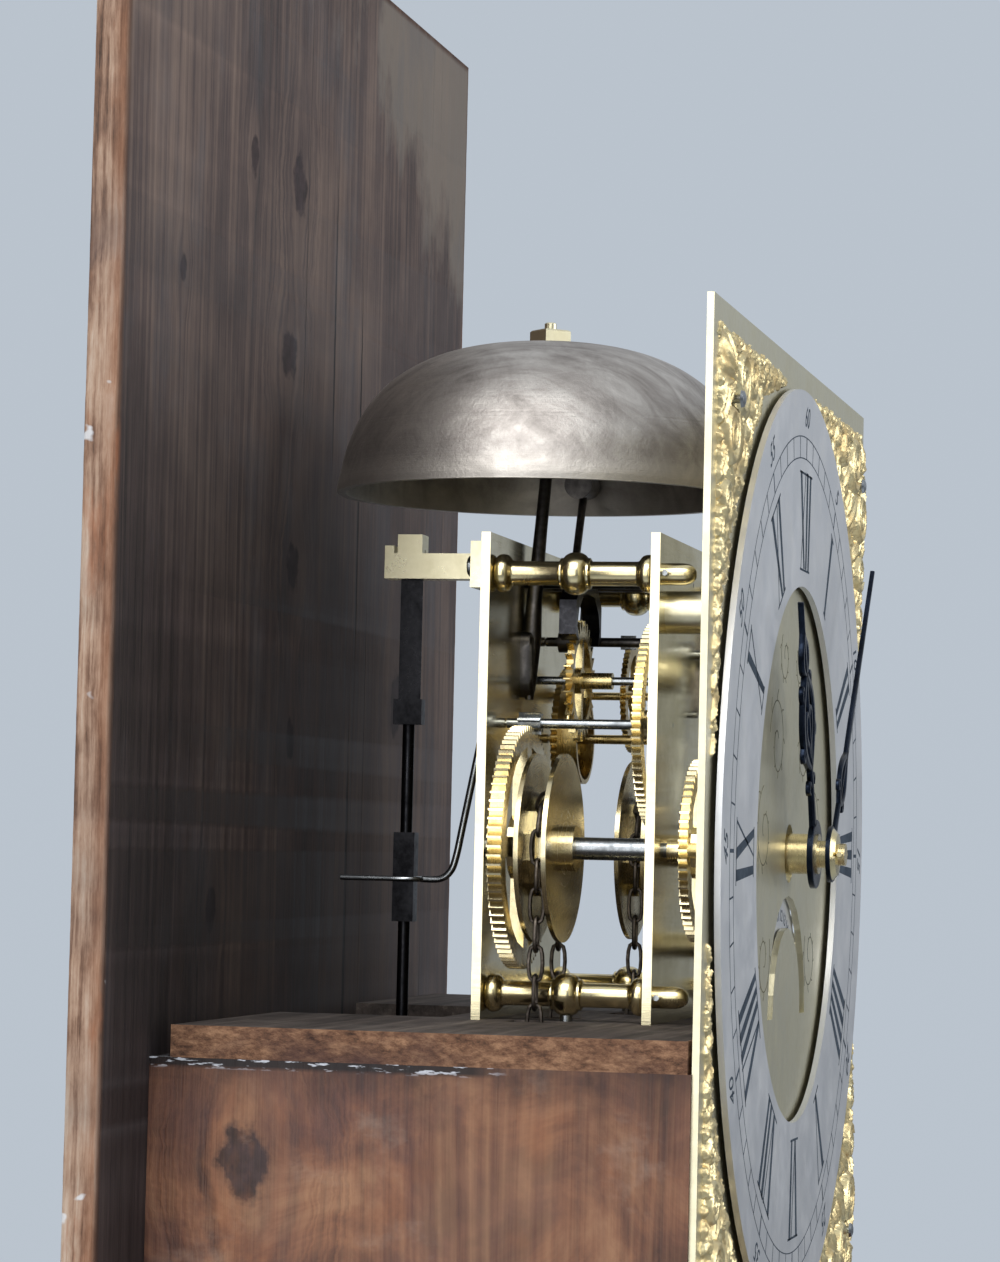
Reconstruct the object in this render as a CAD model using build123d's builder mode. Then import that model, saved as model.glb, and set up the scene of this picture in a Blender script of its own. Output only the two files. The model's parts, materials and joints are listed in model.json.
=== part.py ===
from build123d import *
import math
import os

os.makedirs("parts", exist_ok=True)

# Case
total_height = 1900.0
board = 14.0
backboard_thickness = 10.0
trunk_half_width = 154.0
ear_half_width = 197.0
plinth_step = 30.0
plinth_height = 500.0
throat_top = 1440.0
throat_height = 48.0
door_half_width = 91.0
door_bottom = 611.0
door_top = 1329.0
frame_thickness = 18.0
seatboard_thickness = 9.0

# Dial centre in the row frame, and the plates behind the dial's front face
dial_y = -56.5
dial_z = 1612.0
dial_size = 304.8
dial_thickness = 2.0
front_plate_y = 31.6
plate_thickness = 2.8
plate_gap = 49.1
plate_half_width = 57.0
plate_top = 94.4
plate_bottom = -51.8

# Chapter ring and date work
ring_outer_radius = 143.0
ring_inner_radius = 82.4
ring_thickness = 1.8
ring_stand_off = 1.4
date_x = 0.0
date_z = -50.0
date_radius = 39.6

# Trains: arbor places, seen from the front
great_x = 40.0
great_z = 0.0
second_x = -30.3
second_z = 37.9
escape_z = 52.5
pallet_z = 82.7
hoop_x = 32.5
hoop_z = 35.3
warning_x = 52.0
warning_z = 50.0
fly_x = 42.0
fly_z = 67.0
count_x = 33.0
count_z = 24.2
hammer_x = 24.0
hammer_z = 66.0
detent_x = 38.0
detent_z = 84.5
lifter_x = 18.0
lifter_z = 62.0

# Tooth counts
great_teeth = 84
second_pinion = 7
second_teeth = 80
escape_pinion = 8
escape_teeth = 30
drive_teeth = 60
cannon_teeth = 30
hour_pinion = 12
hour_teeth = 72
strike_teeth = 78
hoop_pinion = 6
hoop_teeth = 60
warning_pinion = 6
warning_teeth = 54
fly_pinion = 6
count_teeth = 48
report_pinion = 8
hammer_pins = 13

# Escapement and pendulum
escape_radius = 19.0
pallet_angle = 51.0
pallet_clearance = 0.25
suspension_z = 84.0
pendulum_y = 122.0
pendulum_length = 1002.0
bob_radius = 46.0
rod_radius = 1.9

# Bell
bell_radius = 66.0
bell_y = 79.0
bell_rim_z = 110.0
bell_height = 48.0
bell_wall = 2.4

# Chain and weights
link_pitch = 8.64
link_length = 11.44
link_hole = 9.04
link_width = 5.6
link_wire = 1.2
links_round_wheel = 12
going_chain_y = 67.0
strike_chain_y = 52.5
links_down = 9
flange_radius = 28.5
weight_radius = 24.0
weight_height = 130.0
weight_hook_z = 850.0
ring_weight_radius = 7.5

# Running clearances
pivot_clearance = 0.05
loose = 0.02

# Places that follow from the sizes above
front_plate_back = front_plate_y + plate_thickness
back_plate_y = front_plate_back + plate_gap
back_plate_back = back_plate_y + plate_thickness
backboard_face = dial_y + 155.0
trunk_front = dial_y - 16.0
frame_back = trunk_front + frame_thickness
seat_top = dial_z + plate_bottom
seat_bottom = seat_top - seatboard_thickness
throat_bottom = throat_top - throat_height
turn_per_link = 2 * math.pi / links_round_wheel
wrap_radius = link_pitch / 2 / math.tan(turn_per_link / 2)


def at(x, y, z):
    """A sketch plane that faces the front, placed from the dial centre."""
    return Plane(
        origin=(x, dial_y + y, dial_z + z), x_dir=(1, 0, 0), z_dir=(0, -1, 0)
    )


def spot(x, y, z):
    """A point placed from the dial centre, in the row frame."""
    return Vector(x, dial_y + y, dial_z + z)


def disc(x, z, rear, front, radius, hole=0.0, mode=Mode.ADD):
    """A round piece on a front-to-back axis."""
    with BuildSketch(at(x, rear, z)) as face:
        Circle(radius)
        if hole > 0:
            Circle(hole, mode=Mode.SUBTRACT)
    extrude(face.sketch, amount=rear - front, mode=mode)


def pin(x, z, rear, front, radius):
    """A small repeated pin or pivot, with ten sides inside its true round."""
    with BuildSketch(at(x, rear, z)) as face:
        RegularPolygon(radius, 10)
    extrude(face.sketch, amount=rear - front)


def pivot_hole(x, z, rear, front, radius):
    """The hole of such a pin: its ten flats lie on the true round."""
    with BuildSketch(at(x, rear, z)) as face:
        RegularPolygon(radius, 10, major_radius=False)
    extrude(face.sketch, amount=rear - front, mode=Mode.SUBTRACT)


def turned_piece(x, z, profile):
    """A turned piece on a front-to-back axis, from (y, radius) pairs."""
    start = profile[0][0]
    finish = profile[-1][0]
    with BuildSketch(Plane(origin=spot(x, 0, z), x_dir=(1, 0, 0), z_dir=(0, 0, 1))) as face:
        with BuildLine():
            Polyline((0, start), *[(radius, y) for y, radius in profile], (0, finish), close=True)
        make_face()
    revolve(face.sketch, axis=Axis(spot(x, 0, z), (0, 1, 0)))


def shape(x, z, rear, front, points, mode=Mode.ADD):
    """A flat piece with a straight-sided outline, seen from the front."""
    with BuildSketch(at(x, rear, z)) as face:
        with BuildLine():
            Polyline(*points, close=True)
        make_face()
    extrude(face.sketch, amount=rear - front, mode=mode)


def block(x0, x1, y0, y1, z0, z1, mode=Mode.ADD):
    """A square-edged piece placed from the dial centre."""
    middle = spot((x0 + x1) / 2, (y0 + y1) / 2, (z0 + z1) / 2)
    with Locations(Location(middle)):
        Box(x1 - x0, y1 - y0, z1 - z0, mode=mode)


def plank(x0, x1, y0, y1, z0, z1, mode=Mode.ADD):
    """A square-edged piece placed in the row frame."""
    with Locations(((x0 + x1) / 2, (y0 + y1) / 2, (z0 + z1) / 2)):
        Box(x1 - x0, y1 - y0, z1 - z0, mode=mode)


def rod(start, end, radius, mode=Mode.ADD):
    """A round rod between two points placed from the dial centre."""
    a = spot(*start)
    b = spot(*end)
    with BuildSketch(Plane(origin=a, z_dir=b - a)) as face:
        Circle(radius)
    extrude(face.sketch, amount=(b - a).length, mode=mode)


def upright(x, y, top, bottom, radius, hole=0.0, mode=Mode.ADD):
    """A round upright piece placed from the dial centre."""
    with BuildSketch(Plane(origin=spot(x, y, bottom))) as face:
        Circle(radius)
        if hole > 0:
            Circle(hole, mode=Mode.SUBTRACT)
    extrude(face.sketch, amount=top - bottom, mode=mode)


def module(distance, teeth, other_teeth):
    return 2 * distance / (teeth + other_teeth)


def wheel_points(teeth, size, phase, addendum=0.8, dedendum=1.25, tip=0.22):
    """Outline of a wheel with a pointed space between its teeth."""
    pitch = 2 * math.pi / teeth
    radius = size * teeth / 2
    tip_radius = radius + addendum * size
    root_radius = radius - dedendum * size
    points = []
    for n in range(teeth):
        angle = phase + n * pitch
        for turn, reach in (
            (-pitch / 2, root_radius),
            (-tip * pitch / 2, tip_radius),
            (tip * pitch / 2, tip_radius),
        ):
            points.append(
                (reach * math.cos(angle + turn), reach * math.sin(angle + turn))
            )
    return points


def pinion_points(teeth, size, phase, addendum=0.5, dedendum=1.2):
    """Outline of a pinion with flat-bottomed spaces between its leaves."""
    pitch = 2 * math.pi / teeth
    radius = size * teeth / 2
    tip_radius = radius + addendum * size
    root_radius = radius - dedendum * size
    points = []
    for n in range(teeth):
        angle = phase + n * pitch
        for turn, reach in (
            (-0.2 * pitch, root_radius),
            (-0.1 * pitch, tip_radius),
            (0.1 * pitch, tip_radius),
            (0.2 * pitch, root_radius),
        ):
            points.append(
                (reach * math.cos(angle + turn), reach * math.sin(angle + turn))
            )
    return points


def meshed(here, there, teeth, phase, other_teeth):
    """Phase of the other wheel so that its space faces this wheel's tooth."""
    line = math.atan2(there[1] - here[1], there[0] - here[0])
    pitch = 2 * math.pi / teeth
    other_pitch = 2 * math.pi / other_teeth
    part = (line - phase) / pitch
    return line + math.pi - other_pitch * (0.5 - part)


def crossings(x, z, rear, front, arms, hub, rim, arm_width, turn=0.0):
    """Cuts the windows between a wheel's arms."""
    for n in range(arms):
        first = turn + 2 * math.pi * n / arms
        last = first + 2 * math.pi / arms
        inner = math.asin(arm_width / 2 / hub)
        outer = math.asin(arm_width / 2 / rim)
        points = []
        for part in range(4):
            angle = first + inner + (last - first - 2 * inner) * part / 3
            points.append((hub * math.cos(angle), hub * math.sin(angle)))
        for part in range(6):
            angle = last - outer - (last - first - 2 * outer) * part / 5
            points.append((rim * math.cos(angle), rim * math.sin(angle)))
        shape(x, z, rear, front, points, mode=Mode.SUBTRACT)


def moulding(profile, inner_x, inner_front, back, step):
    """Front and side lengths of a moulding, mitred at the corners."""
    outer_x = inner_x + step
    outer_front = inner_front - step
    low = min(z for _, z in profile)
    high = max(z for _, z in profile)
    with BuildPart(mode=Mode.PRIVATE) as front_length:
        with BuildSketch(Plane(origin=(outer_x, inner_front, 0), x_dir=(0, -1, 0), z_dir=(-1, 0, 0))):
            with BuildLine():
                Polyline(*profile, close=True)
            make_face()
        extrude(amount=2 * outer_x)
        with BuildSketch(Plane(origin=(0, 0, low))):
            with BuildLine():
                Polyline(
                    (-inner_x, inner_front),
                    (inner_x, inner_front),
                    (outer_x, outer_front),
                    (-outer_x, outer_front),
                    close=True,
                )
            make_face()
        extrude(amount=high - low, mode=Mode.INTERSECT)
    lengths = [front_length.part]
    for side in (-1, 1):
        with BuildPart(mode=Mode.PRIVATE) as side_length:
            with BuildSketch(Plane(origin=(side * inner_x, back, 0), x_dir=(side, 0, 0), z_dir=(0, -side, 0))):
                with BuildLine():
                    Polyline(*profile, close=True)
                make_face()
            extrude(amount=side * (back - outer_front))
            with BuildSketch(Plane(origin=(0, 0, low))):
                with BuildLine():
                    Polyline(
                        (side * inner_x, inner_front),
                        (side * outer_x, outer_front),
                        (side * outer_x, back),
                        (side * inner_x, back),
                        close=True,
                    )
                make_face()
            extrude(amount=high - low, mode=Mode.INTERSECT)
        lengths.append(side_length.part)
    return lengths


def link(middle, along, across):
    """One chain link: its length lies along one direction, its width across."""
    flat = along.cross(across)
    half = link_length / 2
    hole = link_hole / 2
    wide = link_width / 2
    slot = wide - link_wire
    corner = 1.5
    nick = 0.7
    start = middle - flat * (link_wire / 2)
    with BuildSketch(Plane(origin=start, x_dir=along, z_dir=flat)) as face:
        with BuildLine():
            Polyline(
                (-half, -wide + corner),
                (-half + corner, -wide),
                (half - corner, -wide),
                (half, -wide + corner),
                (half, wide - corner),
                (half - corner, wide),
                (-half + corner, wide),
                (-half, wide - corner),
                close=True,
            )
        make_face()
        with BuildLine():
            Polyline(
                (-hole, -slot + nick),
                (-hole + nick, -slot),
                (hole - nick, -slot),
                (hole, -slot + nick),
                (hole, slot - nick),
                (hole - nick, slot),
                (-hole + nick, slot),
                (-hole, slot - nick),
                close=True,
            )
        make_face(mode=Mode.SUBTRACT)
    extrude(face.sketch, amount=link_wire)


# Case
trunk_ear = [
    (-plinth_step - trunk_half_width, 0.0),
    (plinth_step + trunk_half_width, 0.0),
    (plinth_step + trunk_half_width, plinth_height),
    (trunk_half_width, plinth_height),
    (trunk_half_width, throat_top),
    (ear_half_width, throat_top),
    (ear_half_width, total_height),
    (-ear_half_width, total_height),
    (-ear_half_width, throat_top),
    (-trunk_half_width, throat_top),
    (-trunk_half_width, plinth_height),
    (-plinth_step - trunk_half_width, plinth_height),
]
with BuildPart() as backboard:
    with BuildSketch(Plane(origin=(0, backboard_face + backboard_thickness, 0), x_dir=(1, 0, 0), z_dir=(0, -1, 0))):
        with BuildLine():
            Polyline(*trunk_ear, close=True)
        make_face()
    extrude(amount=backboard_thickness)

with BuildPart() as trunk_sides:
    for side in (-1, 1):
        inner = side * (trunk_half_width - board)
        outer = side * trunk_half_width
        plank(min(inner, outer), max(inner, outer), frame_back, backboard_face, 480.0, seat_bottom)

with BuildPart() as trunk_frame:
    opening = door_half_width + 1.0
    plank(-trunk_half_width, -opening, trunk_front, frame_back, 480.0, throat_top)
    plank(opening, trunk_half_width, trunk_front, frame_back, 480.0, throat_top)
    plank(-opening, opening, trunk_front, frame_back, 480.0, door_bottom - 1.0)
    plank(-opening, opening, trunk_front, frame_back, door_top + 1.0, throat_top)

with BuildPart() as seatboard:
    plank(-trunk_half_width, trunk_half_width, frame_back + 1.0, backboard_face - 6.0, seat_bottom, seat_top)
    plank(-45.0, 45.0, dial_y + 98.0, backboard_face, seat_bottom - 1.0, seat_top + 1.0, mode=Mode.SUBTRACT)
    plank(-44.0, 44.0, frame_back, frame_back + 6.0, seat_bottom - 1.0, seat_top + 1.0, mode=Mode.SUBTRACT)
    for x, y in (
        (-great_x - wrap_radius, going_chain_y),
        (-great_x + wrap_radius, going_chain_y),
        (great_x - wrap_radius, strike_chain_y),
        (great_x + wrap_radius, strike_chain_y),
    ):
        block(x - 6.0, x + 6.0, y - 7.5, y + 7.5, plate_bottom - 12.0, plate_bottom + 1.0, mode=Mode.SUBTRACT)
    for x in (-48.0, 48.0):
        upright(x, 59.0, plate_bottom + 1.0, plate_bottom - 12.0, 2.05, mode=Mode.SUBTRACT)

throat_profile = [
    (0.0, throat_bottom),
    (6.0, throat_bottom),
    (8.0, throat_bottom + 6.0),
    (12.0, throat_bottom + 16.0),
    (20.0, throat_bottom + 27.0),
    (24.0, throat_bottom + 34.0),
    (28.0, throat_bottom + 36.0),
    (28.0, throat_top),
    (0.0, throat_top),
]
with BuildPart() as throat_moulding:
    for length in moulding(throat_profile, trunk_half_width, trunk_front, backboard_face, 28.0):
        add(length)

plinth_x = trunk_half_width + plinth_step
plinth_front = trunk_front - plinth_step
with BuildPart() as plinth_boards:
    plank(-plinth_x, plinth_x, plinth_front, plinth_front + board, 0.0, plinth_height)
    plank(-plinth_x, -plinth_x + board, plinth_front + board, backboard_face, 0.0, plinth_height)
    plank(plinth_x - board, plinth_x, plinth_front + board, backboard_face, 0.0, plinth_height)

plinth_profile = [
    (0.0, plinth_height),
    (34.0, plinth_height),
    (34.0, plinth_height + 7.0),
    (28.0, plinth_height + 9.0),
    (18.0, plinth_height + 15.0),
    (10.0, plinth_height + 24.0),
    (6.0, plinth_height + 28.0),
    (0.0, plinth_height + 28.0),
]
skirting_profile = [
    (0.0, 0.0),
    (6.0, 0.0),
    (6.0, 66.0),
    (2.5, 74.0),
    (0.0, 78.0),
]
with BuildPart() as plinth_mouldings:
    for length in moulding(plinth_profile, trunk_half_width, trunk_front, backboard_face, 34.0):
        add(length)
    for length in moulding(skirting_profile, plinth_x, plinth_front, backboard_face, 6.0):
        add(length)

with BuildPart() as trunk_door:
    plank(-door_half_width, door_half_width, trunk_front, frame_back, door_bottom, door_top)
    plank(80.0 - 3.1, 80.0 + 3.1, trunk_front - 1.0, frame_back + 1.0, 966.9, 973.1, mode=Mode.SUBTRACT)

hinge_x = -door_half_width - 0.5
hinge_y = trunk_front - 3.0
hinge_heights = (720.0, 1220.0)
with BuildPart() as fixed_hinge_leaves:
    for z in hinge_heights:
        plank(hinge_x - 24.0, hinge_x - 3.5, trunk_front - 1.5, trunk_front, z - 32.0, z + 32.0)
        for low, high in ((-32.0, -11.0), (11.0, 32.0)):
            plank(hinge_x - 3.5, hinge_x, trunk_front - 1.5, trunk_front, z + low, z + high)
            with BuildSketch(Plane(origin=(hinge_x, hinge_y, z + low))):
                Circle(3.0)
            extrude(amount=high - low)
        with BuildSketch(Plane(origin=(hinge_x, hinge_y, z - 32.0))):
            Circle(1.2)
        extrude(amount=64.0)

with BuildPart() as door_hinge_leaves:
    for z in hinge_heights:
        plank(hinge_x + 3.5, hinge_x + 24.0, trunk_front - 1.5, trunk_front, z - 32.0, z + 32.0)
        plank(hinge_x, hinge_x + 3.5, trunk_front - 1.5, trunk_front, z - 10.9, z + 10.9)
        with BuildSketch(Plane(origin=(hinge_x, hinge_y, z - 10.9))):
            Circle(3.0)
        extrude(amount=21.8)
        with BuildSketch(Plane(origin=(hinge_x, hinge_y, z - 12.0))):
            Circle(1.25)
        extrude(amount=24.0, mode=Mode.SUBTRACT)

catch_z = 970.0 - dial_z
catch_front = trunk_front - dial_y
catch_back = frame_back - dial_y
with BuildPart() as door_catch:
    disc(80.0, catch_z, catch_front - 0.1, catch_front - 2.0, 9.0)
    disc(80.0, catch_z, catch_front - 2.0, catch_front - 9.0, 4.0)
    disc(80.0, catch_z, catch_front - 9.0, catch_front - 17.0, 9.5)
    disc(80.0, catch_z, catch_back + 0.1, catch_front - 0.1, 3.0)
    shape(80.0, catch_z, catch_back + 2.6, catch_back + 0.1, [(-5.0, -5.0), (5.0, -5.0), (5.0, 22.0), (-5.0, 22.0)])

# Frame of the movement
pillar_places = (
    (-48.0, 82.6),
    (48.0, 82.6),
    (-48.0, -43.8),
    (48.0, -43.8),
)
plate_outline = [
    (-plate_half_width, plate_bottom),
    (plate_half_width, plate_bottom),
    (plate_half_width, plate_top),
    (-plate_half_width, plate_top),
]
foot_places = (
    (-41.5, 71.5),
    (38.0, 57.0),
    (42.0, -30.0),
)
front_holes = (
    (-great_x, great_z, 2.2),
    (great_x, great_z, 1.6),
    (second_x, second_z, 0.7),
    (0.0, escape_z, 0.7),
    (0.0, pallet_z, 0.7),
    (hoop_x, hoop_z, 0.7),
    (warning_x, warning_z, 0.7),
    (fly_x, fly_z, 0.7),
    (hammer_x, hammer_z, 0.8),
    (detent_x, detent_z, 1.4),
)
back_holes = (
    (-great_x, great_z, 1.6),
    (great_x, great_z, 2.2),
    (second_x, second_z, 0.7),
    (0.0, escape_z, 0.7),
    (0.0, pallet_z, 5.0),
    (hoop_x, hoop_z, 0.7),
    (warning_x, warning_z, 0.7),
    (fly_x, fly_z, 0.7),
    (hammer_x, hammer_z, 0.8),
    (detent_x, detent_z, 1.4),
)
with BuildPart() as front_plate:
    shape(0.0, 0.0, front_plate_back, front_plate_y, plate_outline)
    for x, z, radius in front_holes:
        pivot_hole(x, z, front_plate_back + 1.0, front_plate_y - 1.0, radius + pivot_clearance)
    for x, z in pillar_places:
        disc(x, z, front_plate_back + 1.0, front_plate_y - 1.0, 3.3 + loose, mode=Mode.SUBTRACT)
    for x, z in foot_places:
        disc(x, z, front_plate_back + 1.0, front_plate_y - 1.0, 3.0 + loose, mode=Mode.SUBTRACT)
    disc(0.0, 0.0, front_plate_back + 1.0, front_plate_y - 1.0, 2.4, mode=Mode.SUBTRACT)
    disc(lifter_x, lifter_z, front_plate_back + 1.0, front_plate_y - 1.0, 1.5, mode=Mode.SUBTRACT)

with BuildPart() as back_plate:
    shape(0.0, 0.0, back_plate_back, back_plate_y, plate_outline)
    for x, z, radius in back_holes:
        pivot_hole(x, z, back_plate_back + 1.0, back_plate_y - 1.0, radius + pivot_clearance)
    for x, z in pillar_places:
        disc(x, z, back_plate_back + 1.0, back_plate_y - 1.0, 3.0 + loose, mode=Mode.SUBTRACT)
    for x in (-17.0, 17.0):
        disc(x, 87.0, back_plate_back + 1.0, back_plate_y - 1.0, 1.8, mode=Mode.SUBTRACT)
    disc(-9.0, 52.0, back_plate_back + 1.0, back_plate_y - 1.0, 1.5, mode=Mode.SUBTRACT)
    disc(count_x, count_z, back_plate_back + 1.0, back_plate_y - 1.0, 2.0, mode=Mode.SUBTRACT)

with BuildPart() as pillars:
    middle = (front_plate_back + back_plate_y) / 2
    turned_profile = [
        (front_plate_y - 9.6, 1.6),
        (front_plate_y - 8.6, 2.9),
        (front_plate_y - 7.0, 3.3),
        (front_plate_back, 3.3),
        (front_plate_back, 5.2),
        (front_plate_back + 4.2, 5.5),
        (front_plate_back + 6.2, 3.7),
        (middle - 5.0, 4.1),
        (middle - 3.6, 5.4),
        (middle, 6.5),
        (middle + 3.6, 5.4),
        (middle + 5.0, 4.1),
        (back_plate_y - 6.2, 3.7),
        (back_plate_y - 4.2, 5.5),
        (back_plate_y, 5.2),
        (back_plate_y, 3.0),
        (back_plate_back, 3.0),
    ]
    for x, z in pillar_places:
        turned_piece(x, z, turned_profile)
    for x, z in pillar_places:
        rod((x - 8.0, front_plate_y - 0.95, z), (x + 8.0, front_plate_y - 0.95, z), 0.9, mode=Mode.SUBTRACT)
    for x in (-48.0, 48.0):
        upright(x, 59.0, -42.8, -51.8, 1.9, mode=Mode.SUBTRACT)

with BuildPart() as taper_pins:
    for x, z in pillar_places:
        rod((x - 6.5, front_plate_y - 0.95, z), (x + 6.5, front_plate_y - 0.95, z), 0.88)
    for x, z in foot_places:
        rod((x - 5.5, front_plate_back + 0.85, z), (x + 5.5, front_plate_back + 0.85, z), 0.78)

with BuildPart() as backcock:
    block(-24.0, -11.0, back_plate_back, back_plate_back + 5.7, 80.0, plate_top)
    block(11.0, 24.0, back_plate_back, back_plate_back + 5.7, 80.0, plate_top)
    block(-24.0, 24.0, back_plate_back + 5.7, back_plate_back + 11.2, 80.0, plate_top)
    block(-4.5, 4.5, back_plate_back + 11.2, 130.0, 84.0, 92.0)
    block(-4.5, 4.5, 127.0, 130.0, 84.0, 94.4)
    block(-0.9, 0.9, pendulum_y - 4.6, 131.0, 83.0, 95.0, mode=Mode.SUBTRACT)
    disc(0.0, pallet_z, back_plate_back + 9.0, back_plate_back + 5.0, 0.7 + pivot_clearance, mode=Mode.SUBTRACT)
    for x in (-17.0, 17.0):
        disc(x, 87.0, back_plate_back + 12.0, back_plate_back - 1.0, 1.8, mode=Mode.SUBTRACT)
    block(-4.0, 4.0, pendulum_y - 4.0, pendulum_y + 4.0, 92.0, 98.0)
    block(-0.45, 0.45, pendulum_y - 4.6, pendulum_y + 4.6, 91.0, 93.4, mode=Mode.SUBTRACT)

with BuildPart() as studs_and_screws:
    for x in (-17.0, 17.0):
        disc(x, 87.0, back_plate_back + 11.2, back_plate_y - 1.0, 1.78)
        disc(x, 87.0, back_plate_back + 13.4, back_plate_back + 11.2, 3.4)
    disc(-9.0, 52.0, back_plate_back, back_plate_y - 2.5, 1.48)
    disc(-9.0, 52.0, back_plate_back + 1.8, back_plate_back, 3.0)
    for x in (-48.0, 48.0):
        upright(x, 59.0, -43.2, plate_bottom - 9.0, 1.88)
        upright(x, 59.0, plate_bottom - 9.0, plate_bottom - 13.0, 6.0)
    disc(0.0, 0.0, front_plate_back, -5.0, 2.38)
    disc(0.0, 0.0, front_plate_back + 1.2, front_plate_back, 4.5)
    disc(lifter_x, lifter_z, front_plate_back, 22.5, 1.48)
    disc(count_x, count_z, 93.4, back_plate_y, 1.98)
    for sx, sz in ((1, 1), (-1, 1), (-1, -1), (1, -1)):
        pin(sx * 126.0, sz * 126.0, 0.0, -3.6, 1.28)
        pin(sx * 126.0, sz * 126.0, -3.6, -4.8, 2.6)
    bell_top = bell_rim_z + bell_height
    with Locations(Location(spot(0.0, bell_y, bell_top + 2.5), (0, 0, 45))):
        Box(9.4, 9.4, 5.0)
    upright(0.0, bell_y, bell_top + 5.0, bell_top, 1.95, mode=Mode.SUBTRACT)

with BuildPart() as bell_stand:
    foot = [(-3.6, 9.0), (-3.9, -2.0), (-2.6, -8.0), (0.0, -10.4), (2.6, -8.0), (3.9, -2.0), (3.6, 9.0)]
    shape(-9.0, 57.0, back_plate_y, back_plate_y - 4.2, foot)
    disc(-9.0, 52.0, back_plate_y + 0.5, back_plate_y - 2.6, 1.5, mode=Mode.SUBTRACT)
    rod((-9.0, 81.0, 64.0), (-6.6, 80.6, 80.0), 2.4)
    rod((-6.6, 80.6, 79.5), (0.0, bell_y, 122.0), 1.9)
    upright(0.0, bell_y, bell_rim_z + bell_height - bell_wall - 2.0, 119.0, 3.2)
    upright(0.0, bell_y, bell_rim_z + bell_height + 7.0, 119.0, 1.9)

rim = bell_rim_z
top = bell_rim_z + bell_height
with BuildPart() as bell:
    with BuildSketch(Plane(origin=spot(0.0, bell_y, 0.0), x_dir=(1, 0, 0), z_dir=(0, -1, 0))):
        with BuildLine():
            Polyline(
                (bell_radius, rim),
                (bell_radius - 2.2, rim + 11.0),
                (bell_radius - 8.5, rim + 27.0),
                (bell_radius - 23.0, rim + 41.5),
                (16.0, top),
                (1.95, top),
                (1.95, top - bell_wall),
                (15.0, top - bell_wall),
                (bell_radius - 24.4, rim + 39.3),
                (bell_radius - 10.8, rim + 25.4),
                (bell_radius - 3.6, rim + 10.0),
                (bell_radius - 2.4, rim),
                close=True,
            )
        make_face()
    revolve(axis=Axis(spot(0.0, bell_y, 0.0), (0, 0, 1)))

# Dial
half = dial_size / 2
with BuildPart() as dial_plate:
    shape(0.0, 0.0, dial_thickness, 0.0, [(-half, -half), (half, -half), (half, half), (-half, half)])
    disc(0.0, 0.0, dial_thickness + 1.0, -1.0, 9.0, mode=Mode.SUBTRACT)
    mouth = []
    for n in range(13):
        angle = math.pi * n / 12
        mouth.append((37.0 * math.cos(angle), 37.0 * math.sin(angle)))
    for n in range(13):
        angle = math.pi * (12 - n) / 12
        mouth.append((27.0 * math.cos(angle), 27.0 * math.sin(angle)))
    shape(date_x, date_z, dial_thickness + 1.0, -1.0, mouth, mode=Mode.SUBTRACT)
    for x, z in foot_places:
        disc(x, z, front_plate_y, dial_thickness, 6.5 if z > 0 else 4.0)
        disc(x, z, front_plate_back + 2.5, front_plate_y, 3.0)
        rod((x - 9.0, front_plate_back + 0.85, z), (x + 9.0, front_plate_back + 0.85, z), 0.8, mode=Mode.SUBTRACT)
    disc(date_x, date_z, dial_thickness + 3.4, dial_thickness, 3.0)

with BuildPart() as chapter_ring:
    disc(0.0, 0.0, -ring_stand_off, -ring_stand_off - ring_thickness, ring_outer_radius, ring_inner_radius)
    for n in range(4):
        angle = math.pi / 4 + n * math.pi / 2
        disc(112.0 * math.cos(angle), 112.0 * math.sin(angle), 0.0, -ring_stand_off, 4.0)

spandrel = [
    (150.0, 150.0),
    (72.0, 150.0),
    (80.0, 144.0),
    (88.0, 134.0),
    (99.0, 130.0),
    (104.0, 120.0),
    (117.0, 117.0),
    (120.0, 104.0),
    (130.0, 99.0),
    (134.0, 88.0),
    (144.0, 80.0),
    (150.0, 72.0),
]
with BuildPart() as spandrels:
    for sx, sz in ((1, 1), (-1, 1), (-1, -1), (1, -1)):
        shape(0.0, 0.0, 0.0, -3.6, [(sx * x, sz * z) for x, z in spandrel])
        pivot_hole(sx * 126.0, sz * 126.0, 1.0, -5.0, 1.3)

with BuildPart() as date_disc:
    date_points = []
    for n in range(31):
        for part, reach in ((0.0, 0.0), (0.42, 0.0), (0.5, 1.6), (0.92, 1.6)):
            angle = 2 * math.pi * (n + part) / 31
            points_radius = date_radius - reach
            date_points.append((points_radius * math.cos(angle), points_radius * math.sin(angle)))
    shape(date_x, date_z, dial_thickness + 2.4, dial_thickness + 0.6, date_points)
    disc(date_x, date_z, dial_thickness + 3.0, dial_thickness, 3.0 + pivot_clearance, mode=Mode.SUBTRACT)

# Going train
great_distance = math.hypot(second_x + great_x, second_z - great_z)
great_module = module(great_distance, great_teeth, second_pinion)
second_distance = math.hypot(second_x, escape_z - second_z)
second_module = module(second_distance, second_teeth, escape_pinion)
drive_module = module(great_x, drive_teeth, cannon_teeth)
hour_module = module(great_x, hour_pinion, hour_teeth)
second_phase = meshed((-great_x, great_z), (second_x, second_z), great_teeth, 0.0, second_pinion)
escape_phase = meshed((second_x, second_z), (0.0, escape_z), second_teeth, 0.0, escape_pinion)
cannon_phase = meshed((-great_x, great_z), (0.0, 0.0), drive_teeth, 0.0, cannon_teeth)
hour_phase = meshed((-great_x, great_z), (0.0, 0.0), hour_pinion, 0.0, hour_teeth)



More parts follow.
